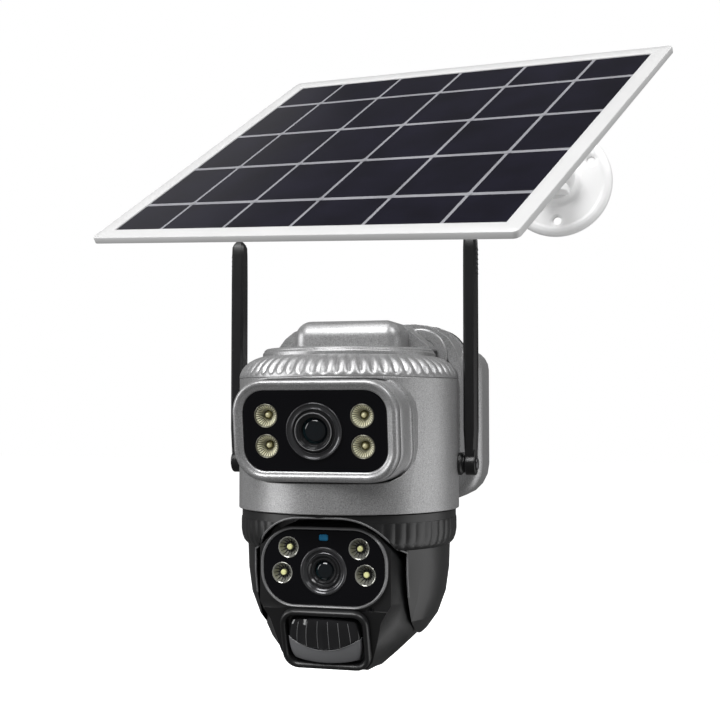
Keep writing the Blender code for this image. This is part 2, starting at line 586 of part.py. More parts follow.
# Antennas --------------------------------------------------------------------------------------
def antennas():
    low_end, width, tip = 6.0, ANTENNA_HALF, ANTENNA_LENGTH
    for side, word in ((-1, "left"), (1, "right")):
        outline = arc(ANTENNA_Y, ANTENNA_Z, low_end, 190, 350, 8)
        outline += [(ANTENNA_Y + width, ANTENNA_Z + 14), (ANTENNA_Y + width, ANTENNA_Z + tip - 30)]
        outline += arc(ANTENNA_Y, ANTENNA_Z + tip - 4.2, 4.2, 0, 180, 8)
        outline += [(ANTENNA_Y - width, ANTENNA_Z + tip - 30), (ANTENNA_Y - width, ANTENNA_Z + 14)]
        inner, outer = ANTENNA_X - 3.0, ANTENNA_X + 3.0
        sections = []
        for inset, x in ((1.2, inner), (0.0, inner + 1.4), (0.0, outer - 1.4), (1.2, outer)):
            shrink = 1 - inset / width
            sections.append([(side * x, ANTENNA_Y + (y - ANTENNA_Y) * shrink,
                              ANTENNA_Z + (z - ANTENNA_Z) * (1 - inset / tip))
                             for y, z in outline])
        blade = loft(f"antenna_blade_{word}", sections, BLACK)
        cut(blade, disc("pin_bore", ANTENNA_BORE, 58, 75, BLACK, 20,
                        along_x(ANTENNA_Y, ANTENNA_Z, side)))
        base = [(0, 60.0), (5.6, 60.0), (5.6, 62.0), (4.6, 62.4), (4.6, 63.3),
                (ANTENNA_PIN, 63.3), (ANTENNA_PIN, 69.3), (0, 69.3)]
        turned(f"antenna_base_{word}", base, BLACK, 16, along_x(ANTENNA_Y, ANTENNA_Z, side))
        set_origin([blade], (side * ANTENNA_X, ANTENNA_Y, ANTENNA_Z))


# Solar panel and its arm -----------------------------------------------------------------------
PANEL_FRAME = (Matrix.Translation(PANEL_CENTRE)
               @ Matrix.Rotation(math.radians(PANEL_YAW), 4, "Z")
               @ Matrix.Rotation(math.radians(PANEL_TILT), 4, "X")
               @ Matrix.Rotation(math.radians(PANEL_ROLL), 4, "Y"))
SWING_POINT = Vector((FLANGE_CENTRE.x, SWING_Y, FLANGE_CENTRE.z))
TILT_POINT = PANEL_FRAME @ Vector((0, 0, -TILT_DROP))
ARM_LINE = (TILT_POINT - SWING_POINT).normalized()
PANEL_NORMAL = (PANEL_FRAME.to_3x3() @ Vector((0, 0, 1))).normalized()
TILT_LINE = PANEL_NORMAL.cross(ARM_LINE).normalized()
ARM_LENGTH = (TILT_POINT - SWING_POINT).length


def frame_of(origin, z_line, x_line):
    """Placement whose Z runs along z_line and whose X lies nearest to x_line."""
    z_axis = z_line.normalized()
    y_axis = z_axis.cross(x_line).normalized()
    x_axis = y_axis.cross(z_axis)
    turn = Matrix((x_axis, y_axis, z_axis)).transposed().to_4x4()
    return Matrix.Translation(origin) @ turn


def placed(item, place):
    """Gives an object built about the origin its own placement."""
    item.matrix_world = Matrix.Translation(place.to_translation() * MM) @ place.to_3x3().to_4x4()
    return item


def placed_by_mesh(item, place):
    """Moves an object's mesh itself, so that Booleans can use it."""
    item.data.transform(Matrix.Translation(place.to_translation() * MM) @ place.to_3x3().to_4x4())
    return item


def flange():
    profile = [(0, 0), (FLANGE_RADIUS, 0), (FLANGE_RADIUS, 2.4), (32.0, 4.6), (29.4, 6.0),
               (12.6, 6.0), (12.2, 15.0), (0, 15.0)]
    plate = turned("wall_flange", profile, WHITE, 30,
                   along_y(FLANGE_CENTRE.x, FLANGE_CENTRE.z))
    for angle in (-90, 30, 150):
        x = FLANGE_CENTRE.x + FLANGE_HOLE_CIRCLE * math.cos(math.radians(angle))
        z = FLANGE_CENTRE.z + FLANGE_HOLE_CIRCLE * math.sin(math.radians(angle))
        cut(plate, disc("flange_hole", FLANGE_HOLE, -2, 12, WHITE, 16, along_y(x, z)))
    lug = [(FLANGE_CENTRE.x + x, y) for x, y in
           arc(0, SWING_Y, 8.5, 180, 360, 10) + [(8.5, -14), (-8.5, -14)]]
    for low, high in ((5.8, 10.2), (-10.2, -5.8)):
        fuse(plate, prism("flange_lug", lug, FLANGE_CENTRE.z + low, FLANGE_CENTRE.z + high, WHITE))
    cut(plate, disc("bolt_hole", SWING_BORE, 120, 155, WHITE, 20,
                    Matrix.Translation((FLANGE_CENTRE.x, SWING_Y, 0))))
    middle = FLANGE_CENTRE.z
    bolt = [(0, middle - 10), (SWING_BOLT, middle - 10), (SWING_BOLT, middle + 10.5),
            (5.2, middle + 10.5), (5.2, middle + 12.2), (4.2, middle + 13.4), (0, middle + 13.4)]
    turned("swing_bolt", bolt, STEEL, 12, Matrix.Translation((FLANGE_CENTRE.x, SWING_Y, 0)))


def arm():
    reach = ARM_LENGTH - KNUCKLE_LENGTH
    tube = frame_of(SWING_POINT, ARM_LINE, Vector((0, 0, 1)))
    rod = [(0, 4.0), (4.1, 4.0), (4.1, 10), (5.4, 16), (5.4, reach - 12),
           (ARM_COLLAR, reach - 8.5), (ARM_COLLAR, reach), (0, reach)]
    piece = turned("solar_arm", rod, WHITE, 20, tube)
    eye = disc("arm_eye", 7.6, SWING_POINT.z - 5.5, SWING_POINT.z + 5.5, WHITE, 20,
               Matrix.Translation((SWING_POINT.x, SWING_POINT.y, 0)))
    fuse(piece, eye)
    cut(piece, disc("eye_bore", SWING_BORE, 120, 155, WHITE, 20,
                    Matrix.Translation((SWING_POINT.x, SWING_POINT.y, 0))),
        disc("stud_bore", STUD + GAP, reach - 9, reach + 2, WHITE, 20, tube))
    set_origin([piece], SWING_POINT)

    knuckle_place = frame_of(SWING_POINT, ARM_LINE, TILT_LINE)
    stem = [(0, reach - 8), (STUD, reach - 8), (STUD, reach + GAP), (ARM_COLLAR, reach + GAP),
            (ARM_COLLAR, ARM_LENGTH - 12), (0, ARM_LENGTH - 12)]
    knuckle = turned("swivel_knuckle", stem, WHITE, 20, knuckle_place)
    lug = [(y, z) for y, z in arc(0, ARM_LENGTH, 8.0, 0, 180, 10)
           + [(-8, ARM_LENGTH - 13), (8, ARM_LENGTH - 13)]]
    for low, high in ((5.0, 8.2), (-8.2, -5.0)):
        ear = placed_by_mesh(prism("knuckle_lug", lug, low, high, WHITE, "YZ"), knuckle_place)
        fuse(knuckle, ear)
    pin_place = frame_of(TILT_POINT, TILT_LINE, ARM_LINE)
    cut(knuckle, disc("pin_bore", PANEL_PIN_BORE, -12, 12, WHITE, 20, pin_place))
    set_origin([knuckle], TILT_POINT)
    knob = [(0, -9.6), (PANEL_PIN, -9.6), (PANEL_PIN, 8.5), (6.5, 8.5), (7.4, 9.3), (7.4, 14.2),
            (6.4, 15.2), (0, 15.2)]
    turned("clamp_knob", knob, BLACK, 16, pin_place)


def panel():
    half_w, half_d = PANEL_WIDTH / 2, PANEL_DEPTH / 2
    open_w, open_d = half_w - PANEL_BORDER, half_d - PANEL_BORDER
    tray = prism("panel_frame", rounded(half_w, half_d, 3.0, steps=3), -PANEL_THICK, 0, WHITE)
    cut(tray, prism("cell_pocket", rounded(open_w, open_d, 1.0, steps=2),
                    POCKET_FLOOR, 3, WHITE))
    placed(tray, PANEL_FRAME)
    sheet = prism("cell_sheet", rounded(open_w - GAP, open_d - GAP, 0.8, steps=2),
                  POCKET_FLOOR + GAP, -0.3, CELLS)
    placed(sheet, PANEL_FRAME)
    back = -PANEL_THICK - GAP
    junction = loft("junction_box", [
        [(x, y, z) for x, y in rounded(26 - inset, 17 - inset, 4, -48, -42, steps=3)]
        for inset, z in ((0, back), (0, back - 9), (1.5, back - 11))], WHITE)
    placed(junction, PANEL_FRAME)

    plate_place = frame_of(PANEL_FRAME @ Vector((0, 0, back)), PANEL_NORMAL, TILT_LINE)
    plate = disc("panel_mount", 25, -3.0, 0, WHITE, 36)
    tongue_drop = TILT_DROP + back
    tongue = arc(0, -tongue_drop, 7.6, 180, 360, 10) + [(7.6, -1), (-7.6, -1)]
    fuse(plate, prism("tongue", tongue, -4.7, 4.7, WHITE, "YZ"))
    cut(plate, disc("tongue_bore", PANEL_PIN_BORE, -8, 8, WHITE, 20, along_x(0, -tongue_drop)))
    placed(plate, plate_place)


def main():
    wall_bracket()
    top_block()
    rear_housing()
    port_pieces()
    body_shell()
    upper_pod()
    inner_parts()
    gear_train()
    yoke()
    head()
    antennas()
    flange()
    arm()
    panel()


main()
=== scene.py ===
"""Looks of the solar-powered security camera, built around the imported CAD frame."""
import json
import math

import bmesh
import bpy
from mathutils import Matrix, Vector

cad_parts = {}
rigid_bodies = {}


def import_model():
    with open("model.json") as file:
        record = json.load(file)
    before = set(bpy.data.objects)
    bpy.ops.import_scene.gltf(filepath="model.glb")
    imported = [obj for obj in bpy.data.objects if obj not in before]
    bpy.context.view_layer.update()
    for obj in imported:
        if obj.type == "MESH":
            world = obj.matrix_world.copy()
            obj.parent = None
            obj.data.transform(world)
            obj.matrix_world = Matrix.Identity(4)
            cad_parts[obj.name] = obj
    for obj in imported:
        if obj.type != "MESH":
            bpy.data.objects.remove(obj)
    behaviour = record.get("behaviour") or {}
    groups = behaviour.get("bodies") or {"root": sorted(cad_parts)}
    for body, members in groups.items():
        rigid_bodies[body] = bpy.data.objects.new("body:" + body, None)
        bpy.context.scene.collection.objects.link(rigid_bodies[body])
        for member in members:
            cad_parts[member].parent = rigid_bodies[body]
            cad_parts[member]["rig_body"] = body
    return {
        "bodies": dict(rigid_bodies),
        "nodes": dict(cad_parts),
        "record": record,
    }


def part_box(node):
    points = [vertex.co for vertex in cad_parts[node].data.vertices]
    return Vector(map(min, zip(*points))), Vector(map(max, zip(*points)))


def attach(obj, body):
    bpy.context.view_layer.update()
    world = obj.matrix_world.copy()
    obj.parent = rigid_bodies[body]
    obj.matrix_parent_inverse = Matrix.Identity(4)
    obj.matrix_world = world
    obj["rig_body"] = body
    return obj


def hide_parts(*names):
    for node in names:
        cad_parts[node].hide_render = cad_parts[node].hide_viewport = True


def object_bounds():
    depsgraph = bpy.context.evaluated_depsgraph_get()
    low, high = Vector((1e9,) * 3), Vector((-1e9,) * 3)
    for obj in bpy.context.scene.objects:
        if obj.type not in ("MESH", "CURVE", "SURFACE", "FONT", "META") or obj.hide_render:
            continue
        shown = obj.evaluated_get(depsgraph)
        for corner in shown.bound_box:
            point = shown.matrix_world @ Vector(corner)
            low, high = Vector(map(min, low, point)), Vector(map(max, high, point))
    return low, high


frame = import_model()
cad_low, cad_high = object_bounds()
nodes = frame["nodes"]
joints = {joint["name"]: joint for joint in frame["record"]["behaviour"]["joints"]}
MM = 0.001


# Places read from the frame, in millimetres ---------------------------------------------------
def box_mm(name):
    low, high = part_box(name)
    return Vector(low) / MM, Vector(high) / MM


def middle(name):
    low, high = box_mm(name)
    return (low + high) / 2


AXIS_Y = middle("top_lid").y                   # vertical axis of the round body
TILT_Z = joints["head_tilt"]["pos_m"][2] / MM


# Camera, light and floor ------------------------------------------------------------------------
VIEW_AZIMUTH = math.radians(15.0)
VIEW_PITCH = math.radians(2.386)
VIEW_DISTANCE = 660.0                           # from the lens to the body's axis
VIEW_ASIDE = -5.9                               # body axis right of the view's middle
FOCAL_LENGTH = 60.0

SKY = ((0.34, None), (0.11, "Is Glossy Ray"), (1.0, "Is Camera Ray"))    # strength, for which rays
AIM = Vector((20, -120, 30)) * MM               # where every light points
LIGHTS = (                                      # name, place in metres, side in metres, watts
    ("key", (-0.3, -1.15, 1.2), 0.8, 17.0),
    ("overhead", (-0.1, -0.5, 1.55), 1.1, 11.0),
    ("upper_right", (1.0, -0.55, 1.1), 0.6, 7.0),
    ("left", (-1.25, -0.75, 0.25), 0.8, 8.0),
    ("right_side", (1.15, 0.1, -0.45), 1.2, 5.6),
    ("panel_glow", (-1.1, 0.95, 1.05), 0.9, 0.6),
    ("back_fill", (0.2, 1.4, 0.9), 1.0, 6.0))
FLOOR_REACH, FLOOR_DROP, FLOOR_GLOW = 6.0, 0.16, 0.72


def studio():
    """Camera of the photograph, white world, area lights and a floor that only the camera sees."""
    flat = Vector((-math.sin(VIEW_AZIMUTH), math.cos(VIEW_AZIMUTH), 0))
    right = Vector((math.cos(VIEW_AZIMUTH), math.sin(VIEW_AZIMUTH), 0))
    up = Vector((0, 0, 1))
    forward = flat * math.cos(VIEW_PITCH) + up * math.sin(VIEW_PITCH)
    eye = Vector((0, AXIS_Y, 0)) - flat * VIEW_DISTANCE - right * VIEW_ASIDE
    data = bpy.data.cameras.new("camera")
    data.lens = FOCAL_LENGTH
    data.clip_start = 0.01
    camera = bpy.data.objects.new("camera", data)
    camera.matrix_world = (Matrix.Translation(eye * MM)
                           @ forward.to_track_quat("-Z", "Y").to_matrix().to_4x4())
    bpy.context.scene.collection.objects.link(camera)
    bpy.context.scene.camera = camera

    world = bpy.data.worlds.new("studio")
    bpy.context.scene.world = world
    world.use_nodes = True
    tree = world.node_tree
    rays = tree.nodes.new("ShaderNodeLightPath")
    last = None
    for level, ray in SKY:
        sky = tree.nodes.new("ShaderNodeBackground")
        sky.inputs["Color"].default_value = (1, 1, 1, 1)
        sky.inputs["Strength"].default_value = level
        if ray:
            mix = tree.nodes.new("ShaderNodeMixShader")
            tree.links.new(rays.outputs[ray], mix.inputs[0])
            tree.links.new(last.outputs[0], mix.inputs[1])
            tree.links.new(sky.outputs[0], mix.inputs[2])
            last = mix
        else:
            last = sky
    tree.links.new(last.outputs[0], tree.nodes["World Output"].inputs["Surface"])

    for name, place, size, power in LIGHTS:
        lamp = bpy.data.lights.new(name, "AREA")
        lamp.size = size
        lamp.energy = power
        item = bpy.data.objects.new(name, lamp)
        item.location = place
        item.rotation_euler = (AIM - Vector(place)).to_track_quat("-Z", "Y").to_euler()
        item.visible_glossy = name != "back_fill"
        bpy.context.scene.collection.objects.link(item)

    mesh = bpy.data.meshes.new("floor")
    level = cad_low[2] - FLOOR_DROP
    mesh.from_pydata([(x * FLOOR_REACH, y * FLOOR_REACH, level)
                      for x, y in ((-1, -1), (1, -1), (1, 1), (-1, 1))], [], [(0, 1, 2, 3)])
    floor = bpy.data.objects.new("floor", mesh)
    bpy.context.scene.collection.objects.link(floor)
    floor.visible_glossy = floor.visible_diffuse = floor.visible_shadow = False
    paint = plastic("floor_paint", (0.93, 0.93, 0.93), 0.95, 0.0, spread=0.01, specular=0.0)
    shader = paint.node_tree.nodes["Principled BSDF"]
    shader.inputs["Emission Color"].default_value = (1, 1, 1, 1)
    shader.inputs["Emission Strength"].default_value = FLOOR_GLOW
    mesh.materials.append(paint)


# Materials --------------------------------------------------------------------------------------
DRIFT_SCALE = 38.0                              # slow changes of colour, repeats per metre
ROUGHNESS_DRIFT = 0.12
GRAIN_SCALE, GRAIN_DEPTH = 1500.0, 0.0002


def new_material(name):
    made = bpy.data.materials.new(name)
    made.use_nodes = True
    return made, made.node_tree, made.node_tree.nodes["Principled BSDF"]


def noise(tree, scale, detail=3.0, rough=0.5):
    """Noise in the object's own coordinates; scale is in repeats per metre."""
    place = tree.nodes.new("ShaderNodeTexCoord")
    made = tree.nodes.new("ShaderNodeTexNoise")
    made.inputs["Scale"].default_value = scale
    made.inputs["Detail"].default_value = detail
    made.inputs["Roughness"].default_value = rough
    tree.links.new(place.outputs["Object"], made.inputs["Vector"])
    return made


def ramp(tree, source, low, high, start, end):
    """Colour ramp between two colours over part of a 0 to 1 value."""
    made = tree.nodes.new("ShaderNodeValToRGB")
    made.color_ramp.elements[0].position = start
    made.color_ramp.elements[1].position = end
    made.color_ramp.elements[0].color = (*low, 1)
    made.color_ramp.elements[1].color = (*high, 1)
    tree.links.new(source, made.inputs["Fac"])
    return made.outputs["Color"]


def bump(tree, shader, source, strength, depth):
    """Fine relief from a 0 to 1 value; depth is in metres."""
    made = tree.nodes.new("ShaderNodeBump")
    made.inputs["Strength"].default_value = strength
    made.inputs["Distance"].default_value = depth
    tree.links.new(source, made.inputs["Height"])
    tree.links.new(made.outputs["Normal"], shader.inputs["Normal"])


def plastic(name, colour, roughness, grain, metallic=0.0, spread=0.12, coat=0.0, specular=0.5):
    """Moulded plastic or paint: slight colour drift, roughness drift and a fine grain."""
    made, tree, shader = new_material(name)
    drift = noise(tree, DRIFT_SCALE)
    dark = tuple(c * (1 - spread) for c in colour)
    light = tuple(min(1.0, c * (1 + spread)) for c in colour)
    tree.links.new(ramp(tree, drift.outputs["Fac"], dark, light, 0.3, 0.7),
                   shader.inputs["Base Color"])
    rough = tree.nodes.new("ShaderNodeMapRange")
    rough.inputs["To Min"].default_value = roughness * (1 - ROUGHNESS_DRIFT)
    rough.inputs["To Max"].default_value = min(1.0, roughness * (1 + ROUGHNESS_DRIFT))
    tree.links.new(drift.outputs["Fac"], rough.inputs["Value"])
    tree.links.new(rough.outputs["Result"], shader.inputs["Roughness"])
    shader.inputs["Metallic"].default_value = metallic
    shader.inputs["Coat Weight"].default_value = coat
    shader.inputs["Coat Roughness"].default_value = 0.08
    shader.inputs["Specular IOR Level"].default_value = specular
    if grain:
        bump(tree, shader, noise(tree, GRAIN_SCALE, 2.0).outputs["Fac"], grain, GRAIN_DEPTH)
    return made


def silver_paint():
    """Satin metallic paint with fine flakes that catch the light."""
    made, tree, shader = new_material("silver_paint")
    flake = noise(tree, 1800.0, 2.0, 0.6)
    drift = noise(tree, 30.0)
    mix = tree.nodes.new("ShaderNodeMix")
    mix.data_type = "FLOAT"
    mix.inputs["Factor"].default_value = 0.85
    tree.links.new(drift.outputs["Fac"], mix.inputs["A"])
    tree.links.new(flake.outputs["Fac"], mix.inputs["B"])
    tree.links.new(ramp(tree, mix.outputs["Result"], (0.27, 0.27, 0.272), (0.52, 0.52, 0.525),
                        0.34, 0.68), shader.inputs["Base Color"])
    shader.inputs["Metallic"].default_value = 0.6
    rough = tree.nodes.new("ShaderNodeMapRange")
    rough.inputs["To Min"].default_value = 0.27
    rough.inputs["To Max"].default_value = 0.44
    tree.links.new(flake.outputs["Fac"], rough.inputs["Value"])
    tree.links.new(rough.outputs["Result"], shader.inputs["Roughness"])
    bump(tree, shader, flake.outputs["Fac"], 0.3, 0.00015)
    return made


# name, colour, roughness, grain
SILVER = silver_paint()
BLACK = plastic("black_satin", (0.009, 0.009, 0.0095), 0.36, 0.08, specular=0.65)
ANTENNA = plastic("antenna_black", (0.009, 0.009, 0.0095), 0.30, 0.06)
GLOSS = plastic("gloss_black", (0.003, 0.003, 0.004), 0.07, 0.0, specular=0.3)
WHITE = plastic("white_plastic", (0.57, 0.57, 0.57), 0.3, 0.02, spread=0.02, coat=0.15)
# the same white plastic made brighter for the flange and its lugs: the extra brightness is painted
# light
WHITE_PAINTED_LIGHT = plastic("flange_white_painted_light", (0.90, 0.90, 0.90), 0.35, 0.02, spread=0.02, coat=0.15)
LENS_METAL = plastic("lens_ring", (0.07, 0.07, 0.074), 0.18, 0.03, metallic=0.6, coat=0.4)
STEEL = plastic("screw_steel", (0.55, 0.55, 0.56), 0.3, 0.05, metallic=1.0)
BOARD = plastic("circuit_board", (0.02, 0.13, 0.06), 0.45, 0.1)
NYLON = plastic("gear_nylon", (0.70, 0.68, 0.60), 0.45, 0.06)
BATTERY = plastic("battery_wrap", (0.03, 0.14, 0.38), 0.3, 0.03)
RUBBER = plastic("rubber", (0.025, 0.025, 0.026), 0.7, 0.25)
BLUE = plastic("status_blue", (0.01, 0.12, 0.24), 0.18, 0.0, spread=0.3)
CELL = plastic("solar_cell", (0.005, 0.0045, 0.010), 0.18, 0.01, spread=0.35, specular=0.2)
GRID = plastic("cell_grid", (0.23, 0.23, 0.25), 0.4, 0.03)
# darker copy of the reflector's cream: painted shade in the cone between the ribs
REFLECTOR_PAINTED_SHADE = plastic("lamp_reflector", (0.15, 0.145, 0.105), 0.25, 0.05, metallic=0.2)
# lighter copy of the same cream: painted light on the ribs
RIB_PAINTED_LIGHT = plastic("lamp_rib_painted_light", (0.90, 0.88, 0.70), 0.25, 0.03, metallic=0.1)
PIR_GREY = plastic("sensor_grey", (0.15, 0.152, 0.158), 0.30, 0.03)
CORE = plastic("lens_core", (0.014, 0.014, 0.015), 0.2, 0.03, coat=0.5)
# light grey that paints the highlight along edges: oval rim, lens ring, sensor lines, arch edge
EDGE_HIGHLIGHT = plastic("painted_edge_highlight", (0.15, 0.15, 0.153), 0.26, 0.05, coat=0.3)
BRASS = plastic("bulb_socket", (0.26, 0.24, 0.13), 0.2, 0.03, metallic=0.8)
BULB = plastic("bulb", (0.85, 0.80, 0.50), 0.12, 0.0, metallic=0.2, coat=0.9)
MIRROR = plastic("clear_cup", (0.42, 0.42, 0.38), 0.14, 0.0, metallic=0.6, spread=0.3)
CHIP = plastic("light_chip", (0.86, 0.86, 0.42), 0.25, 0.05, spread=0.15, coat=0.6)
DARK_GLASS = plastic("clear_dark", (0.010, 0.010, 0.011), 0.05, 0.0, coat=0.8, spread=0.4)


def lens_glass():
    """Lens glass with a painted reflection: near black straight on, blue-green towards its edge."""
    made, tree, shader = new_material("lens_glass_painted_sheen")
    facing = tree.nodes.new("ShaderNodeLayerWeight")
    facing.inputs["Blend"].default_value = 0.35
    # painted reflection: the colour turns blue-green where the surface turns away from the view
    tree.links.new(ramp(tree, facing.outputs["Facing"], (0.002, 0.004, 0.006),
                        (0.02, 0.075, 0.085), 0.15, 0.8), shader.inputs["Base Color"])
    shader.inputs["Roughness"].default_value = 0.04
    shader.inputs["Coat Weight"].default_value = 1.0
    shader.inputs["Coat Roughness"].default_value = 0.02
    return made


LENS_GLASS = lens_glass()


# Mesh tools, in millimetres ---------------------------------------------------------------------
EDGE_ANGLE = 32.0                               # edges sharper than this are rounded or sharp


def rounded(half_w, half_h, radius, steps=10):
    """Rounded rectangle outline about the origin."""
    made = []
    for sign_x, sign_y, start in ((1, 1, 0), (-1, 1, 90), (-1, -1, 180), (1, -1, 270)):
        for i in range(steps + 1):
            angle = math.radians(start + 90 * i / steps)
            made.append((sign_x * (half_w - radius) + radius * math.cos(angle),
                         sign_y * (half_h - radius) + radius * math.sin(angle)))
    return made


def soften(points, size, keep_axis=False, steps=3):
    """Rounds the corners of a closed outline; keep_axis leaves corners on the axis alone."""
    made = []
    for i, point in enumerate(points):
        here = Vector(point)
        if keep_axis and abs(here.x) < 1e-6:
            made.append(tuple(here))
            continue
        before, after = Vector(points[i - 1]) - here, Vector(points[(i + 1) % len(points)]) - here
        start = here + before.normalized() * min(size, before.length * 0.45)
        end = here + after.normalized() * min(size, after.length * 0.45)
        for k in range(steps + 1):
            t = k / steps
            made.append(tuple(start * (1 - t) ** 2 + here * 2 * t * (1 - t) + end * t * t))
    return made


def skin(sections, ring=False, bm=None):
    """Joins outlines of equal length; ring joins the last to the first, else both ends close."""
    bm = bm or bmesh.new()
    loops = [[bm.verts.new(p) for p in section] for section in sections]
    for low, high in zip(loops, loops[1:] + (loops[:1] if ring else [])):
        for i in range(len(low)):
            j = (i + 1) % len(low)
            bm.faces.new((low[i], low[j], high[j], high[i]))
    if not ring:
        bm.faces.new(loops[0])
        bm.faces.new(loops[-1])
    return bm


def banded(place, half_w, half_h, radius, profile, ring=False, steps=10, bm=None):
    """Rounded rectangle of (inset, height) levels, on a placement whose Z is its height."""
    sections = []
    for inset, height in profile:
        outline = rounded(half_w - inset, half_h - inset, max(radius - inset, 0.25), steps)
        sections.append([place @ Vector((x, y, height)) for x, y in outline])
    return skin(sections, ring, bm)


def turned(profile, place, steps=96, ripple=None, bm=None):
    """Turns a closed (radius, height) outline about Z. ripple(angle, index) is added to radii."""
    bm = bm or bmesh.new()
    rings = []
    for index, (radius, height) in enumerate(profile):
        if radius < 1e-6:
            rings.append([bm.verts.new(place @ Vector((0, 0, height)))])
            continue
        ring = []
        for i in range(steps):
            angle = 2 * math.pi * i / steps
            reach = radius + (ripple(angle, index) if ripple else 0)
            ring.append(bm.verts.new(
                place @ Vector((reach * math.cos(angle), reach * math.sin(angle), height))))
        rings.append(ring)
    for a, b in zip(rings, rings[1:] + rings[:1]):
        for i in range(steps):
            j = (i + 1) % steps
            corners = list(dict.fromkeys(
                [a[i % len(a)], a[j % len(a)], b[j % len(b)], b[i % len(b)]]))
            if len(corners) > 2:
                bm.faces.new(corners)
    return bm


def tube(points, radius, closed=False, steps=10, bm=None):
    """Round bead along a line of points."""
    bm = bm or bmesh.new()
    sections = []
    count = len(points)
    for i, point in enumerate(points):
        before = points[i - 1] if closed or i else points[i]
        after = points[(i + 1) % count] if closed or i < count - 1 else points[i]
        line = (Vector(after) - Vector(before)).normalized()
        side = line.cross(Vector((0.13, 0.31, 0.94))).normalized()
        up = side.cross(line)
        sections.append([Vector(point) + side * radius * math.cos(a) + up * radius * math.sin(a)
                         for a in (2 * math.pi * k / steps for k in range(steps))])
    return skin(sections, closed, bm)


def soften_edges(item, width):
    """Rounds every edge sharper than EDGE_ANGLE by a width in millimetres."""
    step = item.modifiers.new("edges", "BEVEL")
    step.width = width * MM
    step.segments = 3
    step.limit_method = "ANGLE"
    step.angle_limit = math.radians(EDGE_ANGLE)


def raw(name, bm, smooth=EDGE_ANGLE):
    """Mesh object in metres, made from a bmesh in millimetres."""
    bmesh.ops.recalc_face_normals(bm, faces=bm.faces)
    bmesh.ops.scale(bm, vec=(MM, MM, MM), verts=bm.verts)
    mesh = bpy.data.meshes.new(name)
    bm.to_mesh(mesh)
    bm.free()
    mesh.shade_smooth()
    mesh.set_sharp_from_angle(angle=math.radians(smooth))
    made = bpy.data.objects.new(name, mesh)
    bpy.context.scene.collection.objects.link(made)
    return made


def drill(place, radius, steps, low=-6.0, high=6.0):
    """Round tool for a hole along a placement's Z."""
    return raw("hole", turned([(0, low), (radius, low), (radius, high), (0, high)], place, steps))


def cut(item, *tools):
    """Takes solids out of a piece and keeps the result as its mesh."""
    for tool in tools:
        step = item.modifiers.new("cut", "BOOLEAN")
        step.operation, step.solver, step.object = "DIFFERENCE", "EXACT", tool
        bpy.context.view_layer.update()
        item.data = bpy.data.meshes.new_from_object(
            item.evaluated_get(bpy.context.evaluated_depsgraph_get()))
        item.modifiers.clear()
        bpy.data.objects.remove(tool, do_unlink=True)


def piece(item, finish, body, slot, *stands_for, bevel=0.0, smooth=EDGE_ANGLE):
    """Gives a made object its material, its body and the CAD nodes it stands for; slot is not used.
    """
    item.data.materials.clear()
    item.data.materials.append(finish)
    item.data.shade_smooth()
    item.data.set_sharp_from_angle(angle=math.radians(smooth))
    if bevel:
        soften_edges(item, bevel)
    if stands_for:
        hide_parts(*stands_for)
    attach(item, body)


def turn(axis, degrees):
    return Matrix.Rotation(math.radians(degrees), 4, axis)


def place_at(x, y, z):
    return Matrix.Translation((x, y, z))


def dress_cad():
    """Gives every CAD node the material of its slot."""
    finish = {"silver": SILVER, "black": BLACK, "gloss_black": GLOSS, "white": WHITE,
              "cells": CELL, "glass": GLOSS, "reflector": REFLECTOR_PAINTED_SHADE, "steel": STEEL,
              "board": BOARD, "nylon": NYLON, "battery": BATTERY, "rubber": RUBBER,
              "blue": BLUE, "grey_lens": PIR_GREY}
    slots = {part["node"]: part["material_slot"] for part in frame["record"]["subparts"]}
    for name, item in nodes.items():
        item.data.materials.clear()
        item.data.materials.append(finish[slots[name]])


FLAT_ANGLE = 0.6                                # triangles this close to level are one face
COPY_SMOOTH = 34.0


def refine(node, name, finish, bevel):
    """Copy of a CAD node whose shape is right, with its flat faces joined and edges rounded."""
    bm = bmesh.new()
    bm.from_mesh(nodes[node].data)
    bmesh.ops.remove_doubles(bm, verts=bm.verts, dist=1e-6)
    bmesh.ops.dissolve_limit(bm, angle_limit=math.radians(FLAT_ANGLE), verts=bm.verts,
                              edges=bm.edges)
    mesh = bpy.data.meshes.new(name)
    bm.to_mesh(mesh)
    bm.free()
    item = bpy.data.objects.new(name, mesh)
    bpy.context.scene.collection.objects.link(item)
    item.data.shade_smooth()
    item.data.set_sharp_from_angle(angle=math.radians(COPY_SMOOTH))
    soften_edges(item, bevel)
    item.data.materials.append(finish)
    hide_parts(node)
    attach(item, nodes[node]["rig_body"])


def refined_shells():
    """Every other visible CAD shape, with its edges rounded as moulded ones are."""
    for node, name, finish, slot, bevel in (
            ("wall_plate", "back_plate", SILVER, "silver", 0.8),
            ("bracket_arm", "bracket_hood", SILVER, "silver", 0.9),
            ("rear_housing", "battery_case", SILVER, "silver", 0.5),
            ("rear_cover", "battery_cover", SILVER, "silver", 0.6),
            ("front_shell", "round_shell", SILVER, "silver", 0.5),
            ("yoke_frame", "pan_fork", BLACK, "black", 0.5),
            ("head_shell", "head_case", BLACK, "black", 0.8),
            ("solar_arm", "arm_tube", WHITE, "white", 0.5),
            ("swivel_knuckle", "arm_knuckle", WHITE, "white", 0.7),
            ("panel_mount", "panel_socket", WHITE, "white", 0.7),
            ("junction_box", "wiring_box", WHITE, "white", 0.8),
            ("clamp_knob", "tilt_knob", BLACK, "black", 0.5),
            ("swing_bolt", "arm_bolt", STEEL, "steel", 0.3),
            ("wall_screw_1", "plate_screw_1", STEEL, "steel", 0.25),
            ("wall_screw_2", "plate_screw_2", STEEL, "steel", 0.25),
            ("port_flap", "socket_flap", RUBBER, "rubber", 0.6),
            ("power_button", "button_cap", RUBBER, "rubber", 0.4)):
        refine(node, name, finish, bevel)


